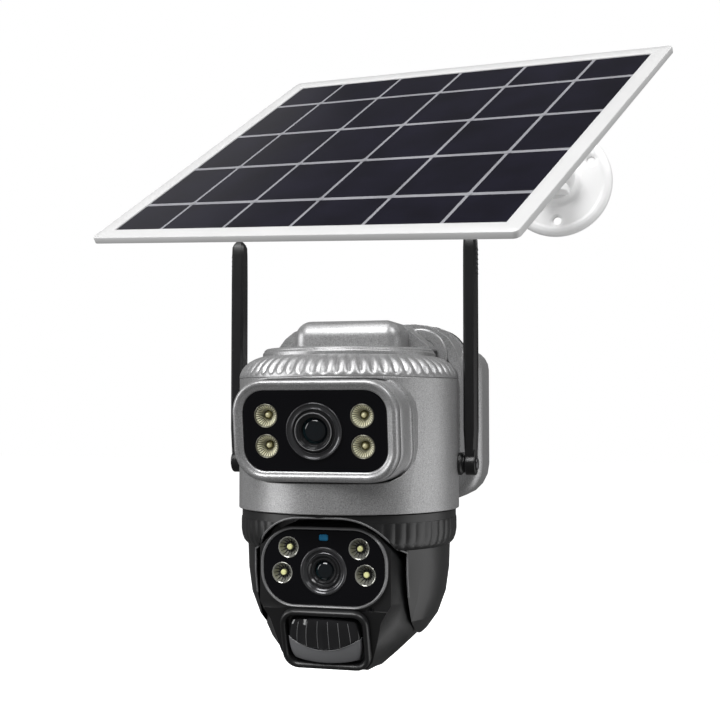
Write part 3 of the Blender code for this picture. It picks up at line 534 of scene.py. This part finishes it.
# Frames that pieces are built on: Z points out of the face, Y up it -----------------------------
POD_Y, POD_Z, POD_LEAN = -160.0, -10.5, 8.0     # the upper lens looks down by its lean
POD = place_at(0, POD_Y, POD_Z) @ turn("X", 90.0 + POD_LEAN)
SLANT = math.tan(math.radians(POD_LEAN))
POD_WALL = Matrix(((1, 0, 0, 0), (0, -SLANT, -1, POD_Y), (0, 1, 0, POD_Z), (0, 0, 0, 1)))
POD_LAMPS = [(x, z) for x in (-25.0, 25.0) for z in (7.7, -7.7)]
HEAD = place_at(0, -142.0, TILT_Z) @ turn("X", 90.0)
HEAD_LENS = HEAD @ place_at(0, -1.7, 0)
HEAD_LAMPS = [(side * x, z) for side in (-1, 1) for x, z in ((18.7, 9.9), (22.0, -3.2))]
STATUS = HEAD @ place_at(0, 15.2, 0)
SENSOR = place_at(0, AXIS_Y - 43.5, TILT_Z - 36.2) @ turn("X", 107.0)
PANEL = place_at(30.8, -140.5, 137.4) @ turn("Z", -21.3) @ turn("X", 35.0) @ turn("Y", 4.8)
PANEL_HALF_W, PANEL_HALF_D, PANEL_CORNER, PANEL_DEPTH = 120.0, 101.5, 3.0, 3.5
PANEL_BACK = PANEL @ turn("X", 180.0) @ place_at(0, 0, PANEL_DEPTH)
BACK_CUT = box_mm("top_ring")[1].y              # the ring is flat where the bracket meets it
FLANGE_RADIUS = 33.0
FLANGE = middle("wall_flange").x, box_mm("wall_flange")[1].z - FLANGE_RADIUS
ARCH_Z = -85.6                                  # middle of the yoke's arched opening


def body_top():
    """Ribbed ring, lid and block on top of the round body."""
    profile = [(60.0, 17.06, 0), (60.0, 18.2, 0), (59.9, 19.0, 0.5), (59.5, 20.2, 0.9),
               (58.7, 21.8, 1), (57.2, 23.8, 1), (54.9, 25.8, 1), (52.2, 27.3, 0.9),
               (50.0, 28.2, 0.5), (48.8, 28.6, 0), (47.9, 28.8, 0), (47.9, 22.5, 0),
               (56.4, 17.06, 0)]
    ribs, depth, sharpness = 60, 1.7, 1.3

    def ripple(angle, index):
        return -profile[index][2] * depth * (1 - abs(math.cos(ribs * angle / 2))) ** sharpness

    bm = turned([(r, z) for r, z, _ in profile], place_at(0, AXIS_Y, 0), ribs * 10, ripple)
    for vert in bm.verts:
        vert.co.y = min(vert.co.y, BACK_CUT)
    piece(raw("ribbed_ring", bm, 50.0), SILVER, "mount", "silver", "top_ring", smooth=50.0)

    lid = soften([(0, 26), (47.4, 26), (47.4, 30.6), (46.6, 31.4), (46.6, 32.0), (45.4, 33.0),
                  (43.6, 33.0), (43.2, 32.6), (42.6, 32.6), (42.2, 33.0), (0, 33.0)], 0.35, True)
    piece(raw("round_lid", turned(lid, place_at(0, AXIS_Y, 0), 144)), SILVER, "mount", "silver",
          "top_lid")

    low, high = box_mm("top_block")
    inset, radius = 0.2, 9.5
    levels = [(0.9, low.z), (0.4, low.z + 0.5), (inset, low.z + 1.2)]
    for i in range(9):
        angle = math.radians(90 * i / 8)
        levels.append((inset + radius * (1 - math.cos(angle)),
                       high.z - radius + radius * math.sin(angle)))
    half_x, half_y, corner = 30.5, (high.y - low.y) / 2, 8.6
    block = banded(place_at(0, (low.y + high.y) / 2, 0), half_x, half_y, corner, levels, steps=8)
    piece(raw("top_cap", block, 60.0), SILVER, "mount", "silver", "top_block", smooth=60.0)
    root = 24                                       # where the gussets leave the block
    for side, word in ((-1, "left"), (1, "right")):
        outline = soften([(root, low.z), (43, low.z), (42.6, low.z + 1.6), (29, high.z - 2.6),
                          (root, high.z - 2.6)], 1.2)
        sections = [[(side * (root + (x - root) * share), y, low.z + (z - low.z) * share)
                     for x, z in outline]
                    for y, share in ((-80.4, 0.93), (-79.6, 0.98), (-78.4, 1), (-64, 1),
                                     (-62.6, 0.97))]
        piece(raw(f"cap_gusset_{word}", skin(sections)), SILVER, "mount", "silver", smooth=40.0)


def lens_pod():
    """Fixed upper lens unit: housing, rim, window, lens and four ribbed lamps."""
    # distance out of the wall, half width, half height
    levels = [(-46.0, 46.4, 27.0), (-20.4, 46.4, 27.0), (-19.6, 46.1, 26.8), (-19.2, 45.2, 26.0),
              (-18.6, 44.9, 25.7), (-16.4, 44.7, 25.7), (-8.0, 44.2, 25.6), (-3.6, 43.7, 25.6),
              (-3.2, 43.4, 25.4), (-3.0, 42.2, 24.4), (-2.7, 40.5, 22.6), (-10.0, 40.5, 22.6)]
    sections = [[POD_WALL @ Vector((x, y, out)) for x, y in rounded(w, h, 17 - (26 - h), 12)]
                for out, w, h in levels]
    piece(raw("pod_housing", skin(sections), 40.0), SILVER, "mount", "silver", "pod_shell",
          smooth=40.0)
    rim = [(0.2, -3.0), (0.0, -2.6), (0.0, -0.6), (0.35, 0.7), (0.9, 1.5), (1.7, 1.95), (2.5, 1.9),
           (3.1, 1.55), (3.6, 1.2), (4.3, 1.0), (5.0, 0.75), (5.4, 0.3), (5.5, -0.4), (5.5, -3.0)]
    piece(raw("pod_rim", banded(POD_WALL, 42.9, 25.6, 16.6, rim, True, 14), 50.0), SILVER, "mount",
          "silver", "pod_bezel", smooth=50.0)
    pane = raw("pod_glass", banded(POD_WALL, 37.3, 20.8, 12.6, [(0, -1.6), (0, 0.1), (0.4, 0.5)],
                                   steps=12))
    cut(pane, drill(POD, 13.9, 80), *[drill(POD @ place_at(x, z, 0), 5.9, 48)
                                      for x, z in POD_LAMPS])
    piece(pane, GLOSS, "mount", "gloss_black", "pod_window")
    outer = [(14.5, -8.0), (14.5, 1.1), (14.3, 1.5), (13.8, 1.5), (13.5, 1.0), (12.6, 0.6),
             (11.7, 0.7), (11.5, 1.2), (11.1, 1.2), (10.9, 0.6), (10.6, 0.2), (10.6, -8.0)]
    piece(raw("upper_lens_ring", turned(soften(outer, 0.2), POD, 112)), LENS_METAL, "mount",
          "black", "upper_lens_barrel")
    core = [(10.6, -4.0), (10.6, 0.1), (9.9, 0.3), (9.6, 1.8), (9.3, 2.3), (8.7, 2.4), (8.4, 2.0),
            (8.1, 1.0), (7.6, 0.9), (7.3, 0.2), (7.0, 0.2), (6.8, -0.5), (6.5, -0.9), (6.3, -4.0)]
    piece(raw("upper_lens_core", turned(core, POD, 96), 25.0), CORE, "mount", "black",
          smooth=25.0)
    # thin light grey ring on the lens core's lip: a painted highlight
    reach, height, thick = 9.35, 2.2, 0.28
    highlight_ring = [(reach + thick * math.cos(a), height + thick * math.sin(a))
           for a in (math.radians(45 * k) for k in range(8))]
    piece(raw("upper_lens_painted_highlight", turned(highlight_ring, POD, 96), 60.0), EDGE_HIGHLIGHT, "mount", "black", smooth=60.0)
    dome(POD, 6.5, -1.6, 2.4, "upper_lens_front", "mount", "upper_lens_glass")
    for number, (x, z) in enumerate(POD_LAMPS, 1):
        ribbed_lamp(f"upper_lamp_{number}", POD @ place_at(x, z, 0), 5.75, "mount")


def dome(place, radius, low, rise, name, body, node):
    """Front glass of a lens with its painted blue-green reflection, whose middle sits a step lower,
    like a smaller glass in it.
    """
    count, middle_from, step, thick = 12, 8, 0.35, 1.0
    profile = [(0, low - thick), (radius, low - thick)]
    for i in range(count + 1):
        angle = math.radians(90 * i / count)
        profile.append((radius * math.cos(angle) if i < count else 0,
                        low + rise * math.sin(angle) - (step if i >= middle_from else 0.0)))
    piece(raw(name, turned(profile, place, 64), 60.0), LENS_GLASS, body, "glass", node,
          smooth=60.0)


def fins(name, count, place, line, finish, body):
    """Thin ribs down a cup; line lists (radius, height, half width, rise) from rim to bottom."""
    bm = bmesh.new()
    for k in range(count):
        spin = place @ turn("Z", 360.0 * k / count)
        skin([[spin @ Vector((r, -w, z)), spin @ Vector((r, w, z)),
               spin @ Vector((r - rise / 2, 0, z + rise))] for r, z, w, rise in line], bm=bm)
    piece(raw(name, bm, 20.0), finish, body, "reflector", smooth=20.0)


def ribbed_lamp(node, place, radius, body):
    """Cone reflector with moulded ribs round a small bulb; the cone is painted dark as shade, the
    ribs painted light.
    """
    cup = [(radius + 0.35, -0.6), (radius + 0.35, 0.45), (radius, 0.7), (radius - 0.3, 0.5),
           (radius - 0.4, 0.0), (radius * 0.72, -1.9), (radius * 0.5, -3.7), (2.1, -5.2), (0, -5.2),
           (0, -6.0), (radius - 0.2, -6.0)]
    piece(raw(f"{node}_cup", turned(cup, place, 96)), REFLECTOR_PAINTED_SHADE, body, "reflector", node)
    line = [(radius - 0.45, 0.0, 0.42, 0.45), (radius * 0.72, -1.9, 0.3, 0.6),
            (2.3, -5.0, 0.15, 0.5)]
    fins(f"{node}_ribs", 26, place, line, RIB_PAINTED_LIGHT, body)
    ring = [(0, -5.3), (2.3, -5.3), (2.3, -3.9), (1.9, -3.5), (1.5, -3.6), (1.4, -4.0), (0, -4.0)]
    piece(raw(f"{node}_socket", turned(soften(ring, 0.15, True), place, 40)), BRASS, body,
          "reflector")
    stem = [(0, -4.4), (1.35, -4.4), (1.35, -3.0), (1.2, -2.4), (0.8, -1.9), (0.4, -1.7),
            (0, -1.65)]
    piece(raw(f"{node}_bulb", turned(stem, place, 32), 60.0), BULB, body, "reflector",
          smooth=60.0)


def clear_lamp(node, place, radius, body):
    """Clear mirror cup with thin dark fins that paint the streaks its facets reflect, and a small
    raised light chip.
    """
    cup = [(radius + 0.3, -0.6), (radius + 0.3, 0.9), (radius, 1.15), (radius - 0.3, 0.95),
           (radius - 0.5, 0.4), (radius * 0.82, -1.0), (radius * 0.62, -2.3), (2.3, -3.2),
           (0, -3.2), (0, -4.0), (radius - 0.3, -4.0)]
    piece(raw(f"{node}_cup", turned(cup, place, 96)), MIRROR, body, "reflector", node)
    # dark fins down the cup: painted reflection streaks
    line = [(radius - 0.6, 0.3, 0.1, 0.12), (radius * 0.6, -2.3, 0.2, 0.25), (2.4, -3.1, 0.15, 0.2)]
    fins(f"{node}_dark_reflection_streaks", 14, place, line, CORE, body)
    base = [(0, -3.4), (2.4, -3.4), (2.4, -2.2), (2.0, -1.9), (1.7, -2.1), (0, -2.1)]
    piece(raw(f"{node}_base", turned(soften(base, 0.15, True), place, 40)), CORE, body,
          "reflector")
    chip = [(0, -2.4), (1.5, -2.4), (1.5, -1.1), (1.2, -0.8), (0, -0.7)]
    piece(raw(f"{node}_chip", turned(soften(chip, 0.15, True), place, 40)), CHIP, body,
          "reflector")


def camera_head():
    """Oval front of the tilting head, its lens, lamps, light and motion sensor."""
    body = "camera_head"
    # the oval rim's light grey paints the highlight along its edge; the part's own slot is black
    rim = [(0.1, 0.0), (0.0, 1.4), (0.25, 2.2), (0.75, 2.6), (1.25, 2.35), (1.5, 1.7), (1.6, 0.0)]
    piece(raw("oval_rim", banded(HEAD, 33.6, 20.6, 18.5, rim, True, 18), 50.0), EDGE_HIGHLIGHT, body,
          "black", "head_rim", smooth=50.0)
    pane = raw("oval_glass", banded(HEAD, 32.0, 19.0, 16.9, [(0, 0.25), (0, 1.5), (0.4, 1.9)],
                                    steps=16))
    cut(pane, drill(HEAD_LENS, 12.1, 80),
        raw("hole", banded(STATUS, 2.6, 1.8, 1.0, [(0, -3), (0, 4)], steps=6)),
        *[drill(HEAD @ place_at(x, z, 0), 5.5, 48) for x, z in HEAD_LAMPS])
    piece(pane, GLOSS, body, "gloss_black", "head_window")
    light = [(0, 0.3), (0, 1.7), (0.25, 1.95), (0.7, 2.05)]
    piece(raw("status_lens", banded(STATUS, 2.4, 1.6, 0.9, light, steps=6)), BLUE, body, "blue",
          "status_light")
    outer = [(12.3, -5.0), (12.3, 2.1), (11.9, 2.6), (11.2, 2.7), (10.6, 2.3), (10.0, 1.4),
             (9.3, 1.0), (8.8, 1.3), (8.8, -5.0)]
    piece(raw("head_lens_ring", turned(soften(outer, 0.18), HEAD_LENS, 112)), LENS_METAL, body,
          "black", "head_lens_barrel")
    core = [(8.8, -3.0), (8.8, 1.1), (8.3, 1.8), (7.8, 1.9), (7.3, 1.3), (6.8, 0.9), (6.4, 1.3),
            (5.9, 1.3), (5.5, 0.6), (5.3, 0.6), (5.0, -0.1), (4.9, -3.0)]
    piece(raw("head_lens_core", turned(core, HEAD_LENS, 96), 25.0), CORE, body, "black",
          smooth=25.0)
    dome(HEAD_LENS, 5.0, -1.4, 2.2, "head_lens_front", body, "head_lens_glass")
    for number, (x, z) in enumerate(HEAD_LAMPS, 1):
        clear_lamp(f"head_lamp_{number}", HEAD @ place_at(x, z, 0.9), 5.2, body)

    wall = [(0.0, 0.3), (0.0, 2.0), (0.3, 3.2), (0.9, 3.9), (1.7, 4.0), (2.5, 3.6), (3.1, 2.8),
            (3.5, 1.6), (3.6, 0.3)]
    piece(raw("sensor_surround", banded(SENSOR, 23.4, 16.3, 8.2, wall, True, 10), 50.0), BLACK,
          body, "black", "pir_surround", smooth=50.0)
    sensor_dome(body)
    mic = soften([(0, -0.3), (1.3, -0.3), (1.3, 0.1), (0.95, 0.1), (0.8, -0.1), (0, -0.1)], 0.08,
                 True)
    piece(raw("microphone_cap", turned(mic, HEAD @ place_at(24.6, -20.6, 0.45), 32)), GLOSS, body,
          "gloss_black")


def sensor_dome(body):
    """Two-tone sensor cover: clear ribbed upper part over a grey lower part."""
    half_w, half_h, base, height, rib = 19.6, 12.9, 0.9, 6.0, 0.9

    def point(u, v, ribs):
        x = half_w * u * math.sqrt(1 - 0.22 * v * v)
        y = half_h * v * math.sqrt(1 - 0.30 * u * u)
        rise = max(0.0, (1 - u * u) * (1 - v * v)) ** 0.36
        return SENSOR @ Vector((x, y, base + rise * (height - ribs * rib * abs(math.sin(7 * u)))))

    def meeting(u):
        """Curved line between the two parts, lowest in the middle."""
        return -0.30 + 0.50 * u * u

    columns, rows, slit = 64, 16, 0.01
    for name, upper, finish in (("sensor_clear_part", True, DARK_GLASS),
                                ("sensor_grey_part", False, PIR_GREY)):
        bm = bmesh.new()
        grid = []
        for i in range(columns + 1):
            u = -1 + 2 * i / columns
            low, high = (meeting(u) + slit, 1.0) if upper else (-1.0, meeting(u) - slit)
            grid.append([bm.verts.new(point(u, low + (high - low) * j / rows, upper))
                         for j in range(rows + 1)])
        for left, right in zip(grid, grid[1:]):
            for j in range(rows):
                bm.faces.new((left[j], right[j], right[j + 1], left[j + 1]))
        item = raw(name, bm, 40.0)
        thick = item.modifiers.new("wall", "SOLIDIFY")
        thick.thickness = 0.8 * MM
        thick.offset = -1.0
        stands = ("pir_lens",) if upper else ()
        piece(item, finish, body, "grey_lens", *stands, smooth=28.0 if upper else 60.0)
    # light grey lines down the clear part's ribs and along the line between the parts: painted
    # highlights
    lines = bmesh.new()
    top, side = 0.86, 0.92
    for u in (-0.72, -0.45, -0.15, 0.15, 0.45, 0.72):
        low = meeting(u) + 0.04
        tube([point(u, low + (top - low) * i / 8, True) for i in range(9)], 0.16, steps=6,
             bm=lines)
    across = [-side + 2 * side * i / 24 for i in range(25)]
    tube([point(u, meeting(u), False) for u in across], 0.2, steps=6, bm=lines)
    piece(raw("sensor_painted_highlights", lines, 60.0), EDGE_HIGHLIGHT, body, "grey_lens", smooth=60.0)


def pan_collar():
    """Fluted band of the pan yoke, and a light grey bead along its arched opening that paints the
    highlight on its edge.
    """
    # radius, height, share of the flutes' depth
    levels = [(57.0, -57.0, 0), (58.5, -57.2, 0.3), (58.62, -59.0, 1), (58.62, -64.0, 1),
              (58.1, -67.0, 1), (57.2, -69.3, 0.9), (56.2, -70.6, 0.3), (55.2, -71.4, 0),
              (54.0, -71.6, 0)]
    flutes, depth = 60, 0.42

    def ripple(angle, index):
        return -depth * (1 - abs(math.cos(flutes * angle / 2))) * levels[index][2]

    bm = turned([(r, z) for r, z, _ in levels], place_at(0, AXIS_Y, 0), flutes * 12, ripple)
    band = raw("collar_band", bm, 50.0)
    arch = [(x, z + ARCH_Z) for x, z in rounded(40.4, 32.1, 30.7, 14)]
    cut(band, raw("tool", skin([[(x, y, z) for x, z in arch] for y in (-170, AXIS_Y)])))
    piece(band, BLACK, "pan_yoke", "black", smooth=50.0)

    # light grey bead round the arch: a painted highlight on its edge
    outline = [(x, z + ARCH_Z) for x, z in rounded(39.75, 31.45, 30.05, 16) if z > -12]
    order = sorted(outline, key=lambda p: math.atan2(p[0], p[1] + 100))
    collar_end, ear_x = -70.6, 40.75
    points = []
    for x, z in order:
        if z > collar_end:
            reach = 58.5 + min(z + 64, 0) * 0.52
        else:                                         # below the collar it lies on the ear's edge
            reach = 54.7 + min(z + 84, 0) * 0.16
            x = math.copysign(ear_x, x)
        points.append(Vector((x, AXIS_Y - math.sqrt(max(reach ** 2 - x * x, 0)), z)))
    piece(raw("arch_painted_highlight", tube(points, 0.55), 60.0), EDGE_HIGHLIGHT, "pan_yoke", "black", smooth=60.0)


def antennas():
    """Folding blades with a long groove, grip ridges and a round knuckle."""
    foot, knuckle_half, half_depth, half_thick = 7.0, 2.95, 4.95, 3.55
    for side, word in ((-1, "left"), (1, "right")):
        name = body = f"antenna_{word}"
        joint = Vector(joints[f"{name}_fold"]["pos_m"]) / MM
        base, tip = joint.z + foot, box_mm(f"antenna_blade_{word}")[1].z
        sections = []
        for share in (0, 0.05, 0.1, 0.2, 0.5, 0.8, 0.93, 0.97, 0.985, 0.995, 1.0):
            round_end = 1 - max(0.0, (share - 0.955) / 0.045) ** 2.6 * 0.62
            half_y = (half_depth - 0.75 * max(0.0, (share - 0.75) / 0.25)) * round_end
            widening = (half_thick - knuckle_half) * min(share / 0.1, 1.0)
            half_x = (knuckle_half + widening) * round_end
            chamfer, groove = 1.25 * round_end, 0.6 * (0.1 <= share <= 0.9)
            outline = [(half_x, half_y - chamfer), (half_x, 1.5), (half_x - groove, 1.1),
                       (half_x - groove, -1.1), (half_x, -1.5), (half_x, -half_y + chamfer),
                       (half_x - chamfer, -half_y), (-half_x + chamfer, -half_y),
                       (-half_x, -half_y + chamfer), (-half_x, half_y - chamfer),
                       (-half_x + chamfer, half_y), (half_x - chamfer, half_y)]
            sections.append([(joint.x + side * x, joint.y + y, base + (tip - base) * share)
                             for x, y in outline])
        piece(raw(f"{name}_blade", skin(sections), 25.0), ANTENNA, body, "black",
              f"antenna_blade_{word}", bevel=0.35, smooth=25.0)
        along = Matrix.Translation(joint) @ turn("Y", 90 * side)
        barrel = [(2.6, -knuckle_half), (5.6, -knuckle_half), (6.05, -2.4), (6.05, 2.4),
                  (5.6, knuckle_half), (2.6, knuckle_half)]
        piece(raw(f"{name}_knuckle", turned(soften(barrel, 0.3), along, 64)), ANTENNA, body,
              "black")
        neck = [[(joint.x + side * x, joint.y + y, joint.z + up)
                 for x, y in rounded(half_x, half_y, radius, 6)]
                for up, half_x, half_y, radius in ((3.2, 2.8, 4.6, 1.2), (foot, 2.9, 4.9, 1.3),
                                                   (9.0, 2.6, 4.5, 1.3))]
        piece(raw(f"{name}_neck", skin(neck)), ANTENNA, body, "black", bevel=0.3)
        ridges = bmesh.new()
        for i in range(6):
            top = tip - joint.z - 7.0 - i * 2.6
            tube([joint + Vector((side * (half_thick - 0.1), y, top - abs(y) * 0.7))
                  for y in (-3.0, -1.5, 0.0, 1.5, 3.0)], 0.38, steps=8, bm=ridges)
        piece(raw(f"{name}_grip", ridges, 60.0), ANTENNA, body, "black", smooth=60.0)
        socket = soften([(0, 60.0), (6.2, 60.0), (6.2, 61.2), (5.4, 62.2), (4.8, 62.6), (4.8, 63.2),
                         (0, 63.2)], 0.3, True)
        pivot = place_at(0, joint.y, joint.z) @ turn("Y", 90 * side)
        piece(raw(f"{name}_socket", turned(socket, pivot, 64)), BLACK, "mount", "black",
              f"antenna_base_{word}")
        cap = soften([(0, 2.7), (2.4, 2.7), (3.4, 3.0), (3.4, 3.4), (2.6, 3.9), (0, 4.0)], 0.25,
                     True)
        piece(raw(f"{name}_pin_cap", turned(cap, along, 40)), LENS_METAL, body, "black")


def solar_panel():
    """Panel frame with rounded edges, and thirty cells over a light grid."""
    body = "solar_panel"
    shape = [(10.4, -2.9), (9.4, -3.45), (0.5, -3.5), (0.12, -3.35), (0.0, -3.0), (0.0, -0.6),
             (0.15, -0.2), (0.6, 0.0), (8.3, 0.0), (8.7, -0.1), (8.9, -0.4), (8.95, -1.8)]
    frame_skin = banded(PANEL, PANEL_HALF_W, PANEL_HALF_D, PANEL_CORNER, shape, steps=8)
    piece(raw("solar_frame", frame_skin, 28.0), WHITE, body, "white", "panel_frame", smooth=28.0)
    half_w, half_d = 110.9, 92.4                    # of the sheet inside the frame
    piece(raw("cell_backing", banded(PANEL, half_w, half_d, 1.0, [(0, -1.7), (0, -0.75)], steps=4)),
          GRID, body, "cells", "cell_sheet")
    columns = [-half_w, -80, -40, 0, 40, 80, half_w]
    rows = [-half_d, -64.2, -21.4, 21.4, 64.2, half_d]
    line_x, line_y, edge = 0.95, 1.45, 0.25         # half lines between cells, and at the frame
    tiles = bmesh.new()
    for left, right in zip(columns, columns[1:]):
        for low, high in zip(rows, rows[1:]):
            x0 = left + (edge if left == -half_w else line_x)
            x1 = right - (edge if right == half_w else line_x)
            y0 = low + (edge if low == -half_d else line_y)
            y1 = high - (edge if high == half_d else line_y)
            spot = PANEL @ place_at((x0 + x1) / 2, (y0 + y1) / 2, 0)
            banded(spot, (x1 - x0) / 2, (y1 - y0) / 2, 0.8, [(0, -0.8), (0, -0.62), (0.1, -0.55)],
                   steps=3, bm=tiles)
    piece(raw("solar_cells", tiles), CELL, body, "cells")
    dots = bmesh.new()
    for x in columns[1:-1]:
        for y in rows[1:-1]:
            turned([(0, -0.8), (1.8, -0.8), (1.7, -0.5), (0, -0.46)], PANEL @ place_at(x, y, 0),
                   16, bm=dots)
    piece(raw("grid_joints", dots), GRID, body, "cells")


def wall_side():
    """Round flange, bracket trim, and black strips in the gap behind the front shell that paint its
    shade.
    """
    x, z = FLANGE
    place = place_at(x, 0, z) @ turn("X", 90.0)
    profile = soften([(0, 0), (32.7, 0), (FLANGE_RADIUS, 0.6), (FLANGE_RADIUS, 2.2), (32.4, 4.2),
                      (30.6, 5.7), (28.6, 6.0), (27.0, 5.3), (15.4, 5.0), (13.4, 6.4), (12.6, 9.0),
                      (12.2, 14.4), (11.6, 15.0), (0, 15.0)], 0.6, True)
    plate = raw("round_flange", turned(profile, place, 128))
    hole = [(0, -2), (2.6, -2), (2.6, 4.1), (4.4, 5.6), (4.4, 9), (0, 9)]
    hole_circle = 23.6
    cut(plate, *[raw("hole", turned(hole, place @ place_at(hole_circle * math.cos(a),
                                                           hole_circle * math.sin(a), 0), 40))
                 for a in (math.radians(-90), math.radians(30), math.radians(150))])
    piece(plate, WHITE_PAINTED_LIGHT, "mount", "white", "wall_flange", smooth=40.0)
    swing = Vector(joints["arm_swing"]["pos_m"]) / MM
    lug_radius, lug_back = 8.5, 12
    lug = [(lug_radius * math.cos(a), lug_radius * math.sin(a))
           for a in (math.radians(180 + 180 * i / 20) for i in range(21))]
    lug += [(lug_radius, lug_back), (-lug_radius, lug_back)]
    for number, (low, high) in enumerate(((5.8, 10.2), (-10.2, -5.8)), 1):
        item = raw(f"flange_lug_{number}", skin([[(swing.x + x, swing.y + y, swing.z + up)
                                                  for x, y in lug] for up in (low, high)]))
        cut(item, drill(Matrix.Translation(swing), 2.8, 32, low - 2, high + 2))
        piece(item, WHITE_PAINTED_LIGHT, "mount", "white", bevel=0.7)

    gap = box_mm("rear_housing")[0].y
    seam, slivers = bmesh.new(), bmesh.new()
    for side in (-1, 1):
        # black strip in the gap between shell and housing: painted shade
        skin([[(side * x, y, z) for x, y in ((49.0, gap - 0.6), (57.6, gap - 0.6),
                                             (57.6, gap + 1), (49.0, gap + 1))]
              for z in (-23.0, 18.5)], bm=seam)
        for x in (53.6, 56.2):
            skin([[(side * (x + w), gap - 1.3 + h, z) for w, h in ((-0.35, 0), (0.35, 0),
                                                                   (0.35, 1.5), (-0.35, 1.5))]
                  for z in (-21.5, 17.0)], bm=slivers)
    piece(raw("side_gap_painted_shade", seam), BLACK, "mount", "black", bevel=0.3)
    piece(raw("side_slivers", slivers), SILVER, "mount", "silver", bevel=0.2)

    boss = soften([(0, 0.1), (15.5, 0.1), (15.5, 1.4), (14.6, 2.0), (10.0, 2.0), (9.6, 1.4),
                   (6.0, 1.4), (5.6, 2.0), (0, 2.0)], 0.4, True)
    piece(raw("bracket_boss", turned(boss, place_at(33.0, box_mm("bracket_arm")[0].y + 0.2, 31.0)
                                     @ turn("X", 90.0), 72)), SILVER, "mount", "silver")


def back_details():
    """Gasket behind the wall plate; rim, ribs and screws behind the panel."""
    low, high = box_mm("wall_plate")
    wall = place_at(0, high.y, (low.z + high.z) / 2) @ turn("X", -90.0)
    half, corner = 52.0, 22.0
    gasket = [(2.0, -0.4), (2.0, 0.25), (2.4, 0.4), (4.6, 0.4), (5.0, 0.25), (5.0, -0.4)]
    piece(raw("plate_gasket", banded(wall, half, half, corner, gasket, True, 12)), RUBBER, "mount",
          "rubber")
    body = "solar_panel"
    rim = [(3.0, -0.4), (3.0, 0.15), (3.5, 0.3), (5.0, 0.3), (5.5, 0.15), (5.5, -0.4)]
    piece(raw("panel_back_rim", banded(PANEL_BACK, PANEL_HALF_W, PANEL_HALF_D, PANEL_CORNER, rim,
                                       True, 6)), WHITE, body, "white", smooth=28.0)
    ribs = bmesh.new()
    for x in (-95.0, -62.0, 62.0, 95.0):
        banded(PANEL_BACK @ place_at(x, 0, 0), 1.1, 88.0, 0.9, [(0, -0.3), (0, 0.5), (0.4, 0.9)],
               steps=4, bm=ribs)
    piece(raw("panel_back_ribs", ribs), WHITE, body, "white")
    head = [(0, -0.4), (2.6, -0.4), (2.6, 0.4), (2.2, 0.9), (1.3, 1.15), (1.2, 0.5), (0, 0.5)]
    heads = bmesh.new()
    for x in (-108.0, 0.0, 108.0):
        for y in (-90.0, 90.0):
            turned(head, PANEL_BACK @ place_at(x, y, 0), 24, bm=heads)
    piece(raw("panel_back_screws", heads), STEEL, body, "steel")


dress_cad()
refined_shells()
body_top()
lens_pod()
camera_head()
pan_collar()
antennas()
solar_panel()
wall_side()
back_details()
studio()
bpy.context.scene.view_settings.view_transform = "Standard"

for item in bpy.data.objects:          # the panel leaves the light on the body alone
    if item.parent == frame["bodies"]["solar_panel"]:
        item.visible_shadow = item.visible_glossy = False
